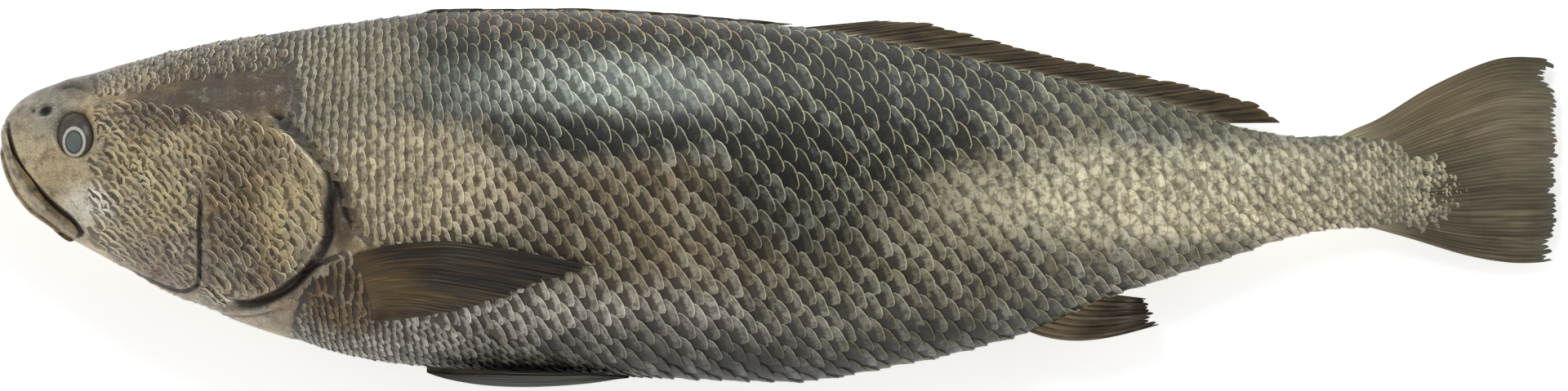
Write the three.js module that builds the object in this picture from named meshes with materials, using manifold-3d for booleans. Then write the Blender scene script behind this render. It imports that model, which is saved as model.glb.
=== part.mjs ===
// Meagre: a whole fresh fish one metre long, lying on its right flank.
// Millimetres, +Z up. The head points to -X, the back to +Y, and the left flank faces up.
// The trunk, head, jaws and gill covers grew as one body. Each eye and each fin is its own piece.
// Everything is built by its station, the distance back from the snout, and the whole fish is
// then moved so that the origin is the middle of its bounding box, on the table.
import * as THREE from "three";
import { mergeVertices } from "three/addons/utils/BufferGeometryUtils.js";
import Module from "manifold-3d";

const wasm = await Module();
wasm.setup();

// ---- Driving dimensions ----

const BODY_LENGTH = 908; // snout to the end of the scaled tail root; the tail fin brings it to 1000
const BODY_RINGS = 46;
const BODY_SIDES = 32;
const RING_CROWDING = 1.5; // above 1, the rings crowd towards the snout
const WIDEST_AT = 0.53; // height of the widest line, as a share of the depth
const BACK_FULLNESS = 1.8; // 2 is an ellipse, and less is a keeled back
const BELLY_FULLNESS = 2.3; // more than 2 is a full, rounded belly
const GAP = 0.5; // clearance between two pieces that touch
const FIN_ROOT = 4; // how far a median fin's outline starts inside the body, before it is cut back

// Each outline is a list of [station, value] through which a smooth line runs.
const backLine = smoothLine([
  [0, 42.8],
  [2.6, 49.6],
  [15.5, 63.5],
  [34, 71.5],
  [63, 79.5],
  [125, 95.6],
  [208, 108.8],
  [292, 118.2],
  [355, 118.5],
  [501, 109.1],
  [644, 83],
  [751, 58.5],
  [800, 43],
  [835, 38.6],
  [866, 39.5],
  [908, 37.6],
]);
const bellyLine = smoothLine([
  [0, 36.5],
  [0.6, 27],
  [6, 7.8],
  [18.6, -9.2],
  [46, -27.9],
  [83, -49],
  [125, -69.5],
  [208, -98],
  [250, -107.2],
  [396, -115.9],
  [501, -119.4],
  [584, -107],
  [657, -87.7],
  [701, -68.5],
  [772, -45.4],
  [835, -25.1],
  [866, -21.4],
  [908, -23.5],
]);
const halfThickness = smoothLine([
  [0, 8],
  [2.6, 14],
  [15.5, 24],
  [46, 35],
  [83, 45],
  [125, 53],
  [190, 60],
  [300, 63],
  [430, 61.5],
  [540, 53.5],
  [650, 41],
  [750, 28],
  [835, 17.5],
  [875, 11],
  [908, 4],
]);
// Height of the fish's middle plane over the table: the flank is pressed flat where it rests,
// the blunt head is held up by the gill covers, and the tail sags towards the table.
const middleHeight = smoothLine([
  [0, 45],
  [60, 49],
  [125, 53],
  [200, 58],
  [300, 60],
  [430, 58.5],
  [540, 50.5],
  [650, 41],
  [750, 33],
  [835, 26],
  [908, 19],
  [1000, 7],
]);

const EYE = {
  station: 49,
  height: 39.2,
  radii: [13.2, 16.2, 9],
  sunk: 5.5, // centre below the skin
  tilt: 0.28, // turn about its own axis, in radians
};

// ---- Small helpers ----

/** A smooth line through the points that never overshoots them (Fritsch-Butland slopes). */
function smoothLine(points) {
  const spans = points.slice(1).map(([s], i) => s - points[i][0]);
  const secants = points.slice(1).map(([, y], i) => (y - points[i][1]) / spans[i]);
  const slopes = points.map((point, i) => {
    if (i === 0) return secants[0];
    if (i === points.length - 1) return secants[i - 1];
    if (secants[i - 1] * secants[i] <= 0) return 0;
    const before = 2 * spans[i] + spans[i - 1];
    const after = spans[i] + 2 * spans[i - 1];
    return (before + after) / (before / secants[i - 1] + after / secants[i]);
  });
  return (s) => {
    const next = points.findIndex(([station]) => s < station);
    const i = next < 0 ? points.length - 2 : Math.max(next - 1, 0);
    const t = THREE.MathUtils.clamp((s - points[i][0]) / spans[i], 0, 1);
    const eased = t * t * (3 - 2 * t);
    const leaving = slopes[i] * spans[i] * t * (1 - t) * (1 - t);
    const arriving = slopes[i + 1] * spans[i] * t * t * (t - 1);
    return THREE.MathUtils.lerp(points[i][1], points[i + 1][1], eased) + leaving + arriving;
  };
}

/** A plane curve through [station, height] points, read from 0 to 1. */
function edge(points) {
  return new THREE.SplineCurve(points.map(([s, y]) => new THREE.Vector2(s, y)));
}

function smoothstep(t) {
  return THREE.MathUtils.smoothstep(t, 0, 1);
}

/** A solid of an indexed geometry that holds only positions. */
function solidOf(geometry) {
  geometry.deleteAttribute("normal");
  geometry.deleteAttribute("uv");
  const merged = mergeVertices(geometry, 1e-3);
  return new wasm.Manifold(
    new wasm.Mesh({
      numProp: 3,
      vertProperties: new Float32Array(merged.attributes.position.array),
      triVerts: new Uint32Array(merged.index.array),
    }),
  );
}

/** The largest piece of a cut solid, so that no sliver is left beside it. */
function largest(solid) {
  const pieces = solid.decompose();
  return pieces.reduce((best, piece) => (piece.volume() > best.volume() ? piece : best));
}

function meshOf(name, solid, material) {
  const { vertProperties, triVerts } = solid.getMesh();
  const geometry = new THREE.BufferGeometry();
  geometry.setAttribute("position", new THREE.BufferAttribute(vertProperties, 3));
  geometry.setIndex(new THREE.BufferAttribute(triVerts, 1));
  geometry.computeVertexNormals();
  const mesh = new THREE.Mesh(geometry, material);
  mesh.name = name;
  return mesh;
}

function indexedGeometry(points, index) {
  const geometry = new THREE.BufferGeometry().setFromPoints(points);
  geometry.setIndex(index);
  return geometry;
}

/** A closed plate between two surfaces over one (u, v) grid; `upper` is the side seen from +Z. */
function plate(uSteps, vSteps, upper, lower) {
  const points = [];
  for (const surface of [upper, lower]) {
    for (let i = 0; i <= uSteps; i++) {
      for (let j = 0; j <= vSteps; j++) {
        points.push(surface(i / uSteps, j / vSteps));
      }
    }
  }
  const under = points.length / 2;
  const at = (i, j) => i * (vSteps + 1) + j;
  const index = [];
  const quad = (a, b, c, d) => index.push(a, b, c, a, c, d);
  const wall = (a, b) => quad(under + a, under + b, b, a);
  for (let i = 0; i < uSteps; i++) {
    for (let j = 0; j < vSteps; j++) {
      const [a, b, c, d] = [at(i, j), at(i + 1, j), at(i + 1, j + 1), at(i, j + 1)];
      quad(a, b, c, d);
      quad(under + a, under + d, under + c, under + b);
    }
  }
  for (let i = 0; i < uSteps; i++) {
    wall(at(i, 0), at(i + 1, 0));
    wall(at(i + 1, vSteps), at(i, vSteps));
  }
  for (let j = 0; j < vSteps; j++) {
    wall(at(0, j + 1), at(0, j));
    wall(at(uSteps, j), at(uSteps, j + 1));
  }
  return solidOf(indexedGeometry(points, index));
}

// ---- Body ----

function section(s, grow) {
  const back = backLine(s) + grow;
  const belly = bellyLine(s) - grow;
  const widest = belly + WIDEST_AT * (back - belly);
  return { widest, up: back - widest, down: widest - belly, half: halfThickness(s) + grow };
}

/** A point of the skin. Angle 0 is the left flank, a quarter turn the back, a half the right flank. */
function skin(s, angle, grow = 0) {
  const { widest, up, down, half } = section(s, grow);
  const rise = Math.sin(angle);
  const fullness = rise > 0 ? BACK_FULLNESS : BELLY_FULLNESS;
  const y = widest + Math.sign(rise) * Math.abs(rise) ** (2 / fullness) * (rise > 0 ? up : down);
  return new THREE.Vector3(s, y, middleHeight(s) + half * Math.cos(angle));
}

/** Height of the skin over (station, y), on the left flank (side 1) or the right one (side -1). */
function flankHeight(s, y, side, grow = 0) {
  const { widest, up, down, half } = section(s, grow);
  const rise = Math.abs(y - widest) / (y > widest ? up : down);
  const fullness = y > widest ? BACK_FULLNESS : BELLY_FULLNESS;
  return middleHeight(s) + side * half * Math.sqrt(Math.max(0, 1 - rise ** fullness));
}

/** The trunk and head as a loft of closed sections; `floor` is where the table presses it flat. */
function bodyLoft(grow, floor) {
  const points = [];
  for (let i = 0; i < BODY_RINGS; i++) {
    const share = (i / (BODY_RINGS - 1)) ** RING_CROWDING;
    const s = THREE.MathUtils.lerp(-grow, BODY_LENGTH + grow, share);
    for (let j = 0; j < BODY_SIDES; j++) {
      const point = skin(s, (2 * Math.PI * j) / BODY_SIDES, grow);
      point.x = s;
      point.z = Math.max(point.z, floor);
      points.push(point);
    }
  }
  const ringMiddle = (first) => {
    const ring = points.slice(first, first + BODY_SIDES);
    return ring.reduce((sum, point) => sum.add(point), new THREE.Vector3()).divideScalar(BODY_SIDES);
  };
  const lastRing = (BODY_RINGS - 1) * BODY_SIDES;
  const [front, rear] = [ringMiddle(0), ringMiddle(lastRing)];
  const frontIndex = points.push(front) - 1;
  const rearIndex = points.push(rear) - 1;
  const index = [];
  for (let j = 0; j < BODY_SIDES; j++) {
    const next = (j + 1) % BODY_SIDES;
    index.push(frontIndex, j, next);
    index.push(rearIndex, lastRing + next, lastRing + j);
    for (let ring = 0; ring < lastRing; ring += BODY_SIDES) {
      const [a, b] = [ring + j, ring + next];
      index.push(a, a + BODY_SIDES, b + BODY_SIDES, a, b + BODY_SIDES, b);
    }
  }
  return solidOf(indexedGeometry(points, index));
}

// ---- Eyes ----

/** An eyeball set square to the skin; side 1 is the left eye and side -1 the right one. */
function eyeBall(side, grow) {
  const { station, height, radii, sunk, tilt } = EYE;
  const place = (s, y) => new THREE.Vector3(s, y, flankHeight(s, y, side));
  const centre = place(station, height);
  const along = place(station + 1, height).sub(place(station - 1, height));
  const across = place(station, height + 1).sub(place(station, height - 1));
  const outward = along.cross(across).normalize().multiplyScalar(side);
  const ball = new THREE.SphereGeometry(1, 20, 12).rotateX(Math.PI / 2);
  ball.scale(...radii.map((radius) => radius + grow));
  ball.rotateZ(tilt);
  ball.applyQuaternion(
    new THREE.Quaternion().setFromUnitVectors(new THREE.Vector3(0, 0, side), outward),
  );
  ball.translate(...centre.addScaledVector(outward, -sunk).toArray());
  return solidOf(ball);
}

// ---- Fins in the middle plane ----

/** A fin in the middle plane: rays run from `base` (v = 0) to `tips` (v = 1) over a (u, v) grid. */
function medianFin(uSteps, vSteps, outline, thickness, sag = 0) {
  const surface = (side) => (u, v) => {
    const { x, y } = outline(u, v);
    const z = middleHeight(x) - sag * v * v + (side * thickness(u, v)) / 2;
    return new THREE.Vector3(x, y, z);
  };
  return plate(uSteps, vSteps, surface(1), surface(-1));
}

/** The spines of the first dorsal fin, folded down into their groove along the back. */
function spinyDorsal(grow) {
  const [from, to] = [252, 508];
  const standProud = smoothLine([
    [252, 0.2],
    [300, 2.2],
    [370, 2.2],
    [508, 0.6],
  ]);
  const outline = (u, v) => {
    const x = THREE.MathUtils.lerp(from - grow, to + grow, u);
    const bottom = backLine(x) - 5 - grow;
    return { x, y: THREE.MathUtils.lerp(bottom, backLine(x) + standProud(x) + grow, v) };
  };
  return medianFin(36, 2, outline, (u, v) => 7 - 4 * v + 2 * grow);
}

/** The long second dorsal fin, its soft rays laid back along the tail. */
function softDorsal() {
  const lower = smoothLine([
    [512, backLine(512) - FIN_ROOT],
    [644, backLine(644) - FIN_ROOT],
    [751, backLine(751) - FIN_ROOT],
    [800, backLine(800) - 1],
    [821, 44.5],
  ]);
  const upper = smoothLine([
    [512, 109.5],
    [553, 112.4],
    [587, 111.8],
    [608, 107.2],
    [652, 95.7],
    [731, 77.8],
    [793, 63.7],
    [814, 53.8],
    [821, 47],
  ]);
  const outline = (u, v) => {
    const x = THREE.MathUtils.lerp(512, 821, u);
    return { x, y: THREE.MathUtils.lerp(lower(x), upper(x), v) };
  };
  return medianFin(40, 4, outline, (u, v) => THREE.MathUtils.lerp(5, 1.4, v) - u, 5);
}

/** The small anal fin, folded back: its front ray bows round to the tip, and its last ray is short. */
function analFin() {
  const front = edge([
    [652, -84],
    [685, -95],
    [728, -88.3],
    [742, -82.5],
  ]);
  const rear = edge([
    [702, -62],
    [718, -64.5],
    [733, -65.8],
  ]);
  const outline = (u, v) => front.getPoint(v).lerp(rear.getPoint(v), u);
  return medianFin(8, 12, (u, v) => outline(v, u), (u) => THREE.MathUtils.lerp(5, 1.4, u), 4);
}

/** The tail fin: its rays fan out from the tail root to an almost straight hind edge. */
function tailFin() {
  const top = edge([
    [850, 34],
    [866, 42.5],
    [884, 50.5],
    [918, 71],
    [957, 87.5],
    [985, 89.2],
    [997, 86.2],
  ]);
  const bottom = edge([
    [858, -16],
    [878, -20.5],
    [905, -28],
    [939, -38.1],
    [966, -42.8],
    [986, -43],
    [997, -41],
  ]);
  const HIND_BULGE = 12; // how far the middle of the hind edge stands out, times the share below
  const outline = (u, v) => {
    const point = bottom.getPoint(u).lerp(top.getPoint(u), v);
    point.x += HIND_BULGE * u * u * v * (1 - v);
    return point;
  };
  return medianFin(20, 16, outline, (u) => THREE.MathUtils.lerp(6, 1.6, u));
}

// ---- Paired fins ----

const PECTORAL_UPPER_EDGE = edge([
  [222, -40],
  [250, -31.5],
  [290, -28.7],
  [330, -34.5],
  [379, -43.8],
]);
const PECTORAL_LOWER_EDGE = edge([
  [232, -81],
  [265, -77.5],
  [302, -72],
  [342, -60.5],
  [379, -46.8],
]);

function pectoralThickness(u) {
  return THREE.MathUtils.lerp(4, 1.5, Math.sqrt(u));
}

/** The left pectoral fin, lying back along the upper flank. */
function leftPectoral() {
  const LIFT = 3; // how far its middle springs off the skin
  const surface = (side) => (u, v) => {
    const { x, y } = PECTORAL_LOWER_EDGE.getPoint(u).lerp(PECTORAL_UPPER_EDGE.getPoint(u), v);
    const lift = GAP + LIFT * Math.sin(Math.PI * u);
    const raise = side > 0 ? pectoralThickness(u) : 0;
    return new THREE.Vector3(x, y, flankHeight(x, y, 1) + lift + raise);
  };
  return plate(18, 8, surface(1), surface(-1));
}

/** The right pectoral fin, which leaves the lower flank and lies on the table under the belly. */
function rightPectoral() {
  const DROP = 14; // how much lower on the flank it lies than its fellow
  const SWING = 0.25; // and how steeply it trails towards the belly
  const LANDS_AT = 0.35; // share of its length by which it has reached the table
  const surface = (side) => (u, v) => {
    const { x, y } = PECTORAL_LOWER_EDGE.getPoint(u).lerp(PECTORAL_UPPER_EDGE.getPoint(u), v);
    const lowered = y - DROP - SWING * (x - PECTORAL_UPPER_EDGE.points[0].x);
    const thickness = 0.5 * pectoralThickness(u);
    const atRoot = Math.max(flankHeight(x, lowered, -1) - GAP - thickness, 0);
    const lying = THREE.MathUtils.lerp(atRoot, 0, smoothstep(u / LANDS_AT));
    return new THREE.Vector3(x, lowered, lying + (side > 0 ? thickness : 0));
  };
  return plate(18, 8, surface(1), surface(-1));
}

/** A pelvic fin folded back along the belly, just off the middle; side 1 is the left one. */
function pelvicFin(side) {
  const [from, to] = [273, 402];
  const HALF_SPREAD = 0.17; // half its width round the belly, in radians
  const OFF_MIDDLE = 0.2; // its middle, in radians from the belly's lowest line
  const OPENING = 5.2; // how far it stands off the belly where it opens most
  const width = smoothLine([
    [0, 0.4],
    [0.35, 1],
    [0.7, 0.7],
    [1, 0.12],
  ]);
  const surface = (isOuter) => (u, v) => {
    const x = THREE.MathUtils.lerp(from, to, u);
    const off = OFF_MIDDLE + HALF_SPREAD * width(u) * (2 * v - 1);
    const lift = GAP + 0.3 + OPENING * Math.sin(Math.PI * u ** 0.8);
    const thickness = THREE.MathUtils.lerp(3.6, 1.5, u);
    return skin(x, -Math.PI / 2 + side * off, lift + (isOuter ? thickness : 0));
  };
  const [inner, outer] = [surface(false), surface(true)];
  return side > 0 ? plate(18, 4, outer, inner) : plate(18, 4, inner, outer);
}

// ---- Assembly ----

function skinMaterial(color, roughness = 0.35, metalness = 0.25) {
  return new THREE.MeshStandardMaterial({ color, roughness, metalness });
}

const grownBody = bodyLoft(GAP, -GAP);
const sockets = [1, -1].map((side) => eyeBall(side, GAP));
const groove = spinyDorsal(GAP);
const body = [...sockets, groove].reduce((rest, cutter) => rest.subtract(cutter), bodyLoft(0, 0));
const clearOfBody = (fin) => largest(fin.subtract(grownBody));

const FIN_COLOUR = 0x3b3020;
const fish = new THREE.Group();
fish.add(
  meshOf("body", largest(body), skinMaterial(0x6f6a5c)),
  meshOf("eye_left", eyeBall(1, 0), skinMaterial(0x2e2a28, 0.08, 0)),
  meshOf("eye_right", eyeBall(-1, 0), skinMaterial(0x2e2a28, 0.08, 0)),
  meshOf("dorsal_fin_spiny", spinyDorsal(0), skinMaterial(0x35301f, 0.5, 0)),
  meshOf("dorsal_fin_soft", clearOfBody(softDorsal()), skinMaterial(FIN_COLOUR, 0.45, 0)),
  meshOf("anal_fin", clearOfBody(analFin()), skinMaterial(0x2f261c, 0.45, 0)),
  meshOf("caudal_fin", clearOfBody(tailFin()), skinMaterial(0x57503f, 0.45, 0)),
  meshOf("pectoral_fin_left", clearOfBody(leftPectoral()), skinMaterial(0x2c231a, 0.45, 0)),
  meshOf("pectoral_fin_right", clearOfBody(rightPectoral()), skinMaterial(0x2c231a, 0.45, 0)),
  meshOf("pelvic_fin_left", clearOfBody(pelvicFin(1)), skinMaterial(0x1e1812, 0.45, 0)),
  meshOf("pelvic_fin_right", clearOfBody(pelvicFin(-1)), skinMaterial(0x1e1812, 0.45, 0)),
);

const bounds = new THREE.Box3().setFromObject(fish);
const middle = bounds.getCenter(new THREE.Vector3());
fish.position.set(-middle.x, -middle.y, -bounds.min.z);

const group = new THREE.Group();
group.add(fish);

export default group;
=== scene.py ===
"""A whole meagre, one metre long, lying on its right flank.

Shapes are worked out in millimetres in the fish's own measures: station is the distance back from the
snout, height is the distance above its long axis, and the third measure is the height over the table.
FishForm turns them into the frame's metres, with the head to -X and the back to +Y.
"""

import logging
from dataclasses import dataclass, field
from enum import Enum
from typing import Callable

import bpy
import numpy as np
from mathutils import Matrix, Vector


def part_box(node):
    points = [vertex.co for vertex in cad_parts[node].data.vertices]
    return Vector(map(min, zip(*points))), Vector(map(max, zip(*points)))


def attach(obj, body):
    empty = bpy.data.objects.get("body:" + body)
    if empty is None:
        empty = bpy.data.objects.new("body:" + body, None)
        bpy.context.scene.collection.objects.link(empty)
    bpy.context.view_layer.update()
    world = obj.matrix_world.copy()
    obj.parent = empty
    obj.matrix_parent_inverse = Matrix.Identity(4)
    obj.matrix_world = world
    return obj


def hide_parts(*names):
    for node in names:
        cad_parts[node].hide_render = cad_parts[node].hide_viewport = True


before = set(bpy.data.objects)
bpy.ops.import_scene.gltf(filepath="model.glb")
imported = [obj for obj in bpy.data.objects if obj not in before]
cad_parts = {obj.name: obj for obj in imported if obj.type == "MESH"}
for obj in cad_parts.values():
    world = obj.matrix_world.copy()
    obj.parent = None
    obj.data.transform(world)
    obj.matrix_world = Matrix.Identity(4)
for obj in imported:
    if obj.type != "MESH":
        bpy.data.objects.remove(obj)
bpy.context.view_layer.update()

LOG = logging.getLogger("meagre")
MM = 0.001
Array = np.ndarray
Colour = tuple[float, float, float, float]
Pair = tuple[float, float]
Triple = tuple[float, float, float]
PAINT = 1.28  # lifts every tone to suit the soft light
RIM_SPAN = 20.0  # a scale's own map runs to 1 at this many millimetres from its rim


# ---- Curves and small helpers ----


def colour(code: str) -> Colour:
    """Turns a six-digit sRGB code into linear red, green, blue and a full alpha.

    Args:
        code: The colour as six hexadecimal digits.
    Returns:
        Each channel c as ((c + 0.055) / 1.055) to the power 2.4, times the lift given to all paint.
    """
    channels = [int(code[i : i + 2], 16) / 255 for i in (0, 2, 4)]
    red, green, blue = (PAINT * ((c + 0.055) / 1.055) ** 2.4 for c in channels)
    return red, green, blue, 1.0


def ease(low: float, high: float, value: Array) -> Array:
    """Rises smoothly from 0 at low to 1 at high, as 3t² - 2t³."""
    t = np.clip((np.asarray(value, float) - low) / (high - low), 0, 1)
    return t * t * (3 - 2 * t)


def hump(value: Array, width: float) -> Array:
    """A bell of height 1 about 0: exp(-(value / width)²)."""
    return np.exp(-((np.asarray(value, float) / width) ** 2))


@dataclass(frozen=True)
class SmoothLine:
    """A line through [x, y] knots that never overshoots them (Fritsch-Butland slopes)."""

    knots: tuple[Pair, ...]

    def __call__(self, x: Array) -> Array:
        """Evaluates the line.

        Args:
            x: Where to read it; outside the knots it keeps its end values.
        Returns:
            The cubic Hermite curve whose slope at a knot is the weighted harmonic mean of the secants.
        """
        xs, ys = np.array(self.knots, float).T
        spans, secants = np.diff(xs), np.diff(ys) / np.diff(xs)
        before, after = secants[:-1], secants[1:]
        heavy, light = 2 * spans[1:] + spans[:-1], spans[1:] + 2 * spans[:-1]
        turning = before * after <= 0
        safe_before, safe_after = np.where(turning, 1, before), np.where(turning, 1, after)
        inner = np.where(turning, 0, (heavy + light) / (heavy / safe_before + light / safe_after))
        slopes = np.concatenate([secants[:1], inner, secants[-1:]])
        x = np.clip(np.asarray(x, float), xs[0], xs[-1])
        i = np.clip(np.searchsorted(xs, x, side="right") - 1, 0, len(spans) - 1)
        t = (x - xs[i]) / spans[i]
        eased = t * t * (3 - 2 * t)
        bend = slopes[i] * t * (1 - t) ** 2 + slopes[i + 1] * t * t * (t - 1)
        return ys[i] + (ys[i + 1] - ys[i]) * eased + bend * spans[i]


@dataclass(frozen=True)
class Spline:
    """A uniform Catmull-Rom curve through points of any dimension."""

    points: tuple[tuple[float, ...], ...]

    def __call__(self, share: Array) -> Array:
        """Evaluates the curve.

        Args:
            share: How far along it to read, from 0 to 1.
        Returns:
            One row of coordinates for each share.
        """
        p = np.array(self.points, float)
        share = np.clip(np.asarray(share, float), 0, 1) * (len(p) - 1)
        i = np.minimum(share.astype(int), len(p) - 2)
        t = (share - i)[..., None]
        a, b, c, d = (p[np.clip(i + k, 0, len(p) - 1)] for k in (-1, 0, 1, 2))
        tangent_b, tangent_c = (c - a) / 2, (d - b) / 2
        return (
            (2 * (b - c) + tangent_b + tangent_c) * t**3
            + (3 * (c - b) - 2 * tangent_b - tangent_c) * t**2
            + tangent_b * t
            + b
        )

    def measure(self, s: Array, y: Array, samples: int = 48) -> tuple[Array, Array]:
        """Measures how far points lie from the curve.

        Args:
            s: Stations of the points.
            y: Heights of the points.
            samples: Straight pieces the curve is cut into.
        Returns:
            The distance, positive on the left of the way along the curve, and the share along it.
        """
        shape = np.shape(s)
        points = np.stack([np.ravel(s), np.ravel(y)], -1).astype(np.float32)
        path = self(np.linspace(0, 1, samples + 1)).astype(np.float32)
        start, step = path[:-1], np.diff(path, axis=0)
        distance, along = np.empty(len(points)), np.empty(len(points))
        for first in range(0, len(points), 20000):
            part = slice(first, first + 20000)
            gap = points[part, None] - start
            t = np.clip((gap * step).sum(-1) / (step**2).sum(-1), 0, 1)
            off = gap - step * t[..., None]
            length = np.hypot(off[..., 0], off[..., 1])
            best = length.argmin(1)
            row = np.arange(len(best))
            side = step[best, 0] * gap[row, best, 1] - step[best, 1] * gap[row, best, 0]
            distance[part] = length[row, best] * np.where(side < 0, -1, 1)
            along[part] = (best + t[row, best]) / samples
        return distance.reshape(shape), along.reshape(shape)


class Side(Enum):
    """The left flank faces up, and the right one lies on the table."""

    LEFT = 1
    RIGHT = -1

    @property
    def word(self) -> str:
        """The side's name as piece names end with it."""
        return self.name.lower()


# ---- The fish's form ----


@dataclass(frozen=True)
class FishForm:
    """The outlines and sections of the body, and its place in the frame."""

    length: float = 908.0
    belly_lowest: float = -119.4
    widest_at: float = 0.53
    back_fullness: float = 1.8
    belly_fullness: float = 2.3
    back: SmoothLine = SmoothLine(
        (
            (0, 42.8), (2.6, 49.6), (15.5, 63.5), (34, 71.5), (63, 79.5), (125, 95.6), (208, 108.8),
            (292, 118.2), (355, 118.5), (501, 109.1), (644, 83), (751, 58.5), (800, 43), (835, 38.6),
            (866, 39.5), (908, 37.6),
        )
    )
    belly: SmoothLine = SmoothLine(
        (
            (0, 36.5), (0.6, 27), (6, 7.8), (18.6, -9.2), (46, -27.9), (83, -49), (125, -69.5),
            (208, -98), (250, -107.2), (396, -115.9), (501, -119.4), (584, -107), (657, -87.7),
            (701, -68.5), (772, -45.4), (835, -25.1), (866, -21.4), (908, -23.5),
        )
    )
    half_thickness: SmoothLine = SmoothLine(
        (
            (0, 8), (2.6, 14), (15.5, 24), (46, 35), (83, 45), (125, 53), (190, 60), (300, 63),
            (430, 61.5), (540, 53.5), (650, 41), (750, 28), (835, 17.5), (875, 11), (908, 4),
        )
    )
    middle: SmoothLine = SmoothLine(
        (
            (0, 45), (60, 49), (125, 53), (200, 58), (300, 60), (430, 58.5), (540, 50.5), (650, 41),
            (750, 33), (835, 26), (908, 19), (1000, 7),
        )
    )
    side_line: SmoothLine = SmoothLine(
        ((0, 40), (190, 42), (330, 30), (480, 14), (620, 5), (750, 1.5), (908, 1))
    )

    def place(self, points: Array) -> Array:
        """Moves points from the fish's measures into the frame.

        Args:
            points: Rows of station, height and level, in millimetres.
        Returns:
            Rows of x, y and z in metres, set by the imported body's own box.
        """
        low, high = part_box("body")
        unit = (high.x - low.x) / self.length
        shift = np.array([low.x, low.y - self.belly_lowest * unit, 0.0])
        return np.asarray(points) * unit + shift

    def section(self, s: Array, grow: float) -> tuple[Array, Array, Array, Array]:
        """The section at a station: its widest height, its reach up and down, and its half thickness."""
        top, bottom = self.back(s) + grow, self.belly(s) - grow
        widest = bottom + self.widest_at * (top - bottom)
        return widest, top - widest, widest - bottom, self.half_thickness(s) + grow

    def skin(self, s: Array, angle: Array, side: Side, grow: float = 0.0) -> Array:
        """A point of the skin.

        Args:
            s: Station.
            angle: 0 on the flank, a quarter turn on the back, minus a quarter turn on the belly.
            side: Which flank.
            grow: How far outside the body's surface.
        Returns:
            Height widest + |sin|^(2 / fullness) times the reach, and level middle + half · cos.
        """
        s, angle = np.broadcast_arrays(np.asarray(s, float), np.asarray(angle, float))
        widest, up, down, half = self.section(s, grow)
        rise = np.sin(angle)
        power = np.where(rise > 0, 2 / self.back_fullness, 2 / self.belly_fullness)
        y = widest + np.sign(rise) * np.abs(rise) ** power * np.where(rise > 0, up, down)
        z = self.middle(s) + side.value * half * np.cos(angle)
        return np.stack([s, y, z], -1)

    def flank_level(self, s: Array, y: Array, side: Side, grow: float = 0.0) -> Array:
        """Level of the skin over a station and height.

        Args:
            s: Stations.
            y: Heights.
            side: Which flank.
            grow: How far outside the body's surface.
        Returns:
            middle ± half · √(1 - rise^fullness), where rise is the share of the way to the ridge.
        """
        widest, up, down, half = self.section(s, grow)
        rise = np.abs(y - widest) / np.where(y > widest, up, down)
        fullness = np.where(y > widest, self.back_fullness, self.belly_fullness)
        return self.middle(s) + side.value * half * np.sqrt(np.maximum(0, 1 - rise**fullness))


FORM = FishForm()


def grid_normals(points: Array) -> Array:
    """Unit normals of a grid of points, from the cross product of its two directions."""
    along, across = np.gradient(points, axis=0), np.gradient(points, axis=1)
    normal = np.cross(along, across)
    return normal / np.maximum(np.linalg.norm(normal, axis=-1, keepdims=True), 1e-9)


# ---- The relief of the head ----


def wrinkles(s: Array, y: Array) -> Array:
    """Wavy ridges round the cheek.

    Args:
        s: Stations.
        y: Heights.
    Returns:
        1 - |sin p|^0.8, where p grows outwards by pi every 4.6 mm and wanders.
    """
    out = np.hypot(s - 78, 0.85 * (y - 22))
    wander = 1.5 * np.sin(y / 6.1 + s / 19) + 1.1 * np.sin(s / 5.3 - y / 9.7 + 1.3 * np.sin(y / 4.3))
    wander = wander + 0.7 * np.sin(y / 2.9 + 1.1 * np.sin(s / 7.1))
    return 1 - np.abs(np.sin(out * np.pi / 4.6 + wander)) ** 0.8


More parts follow.
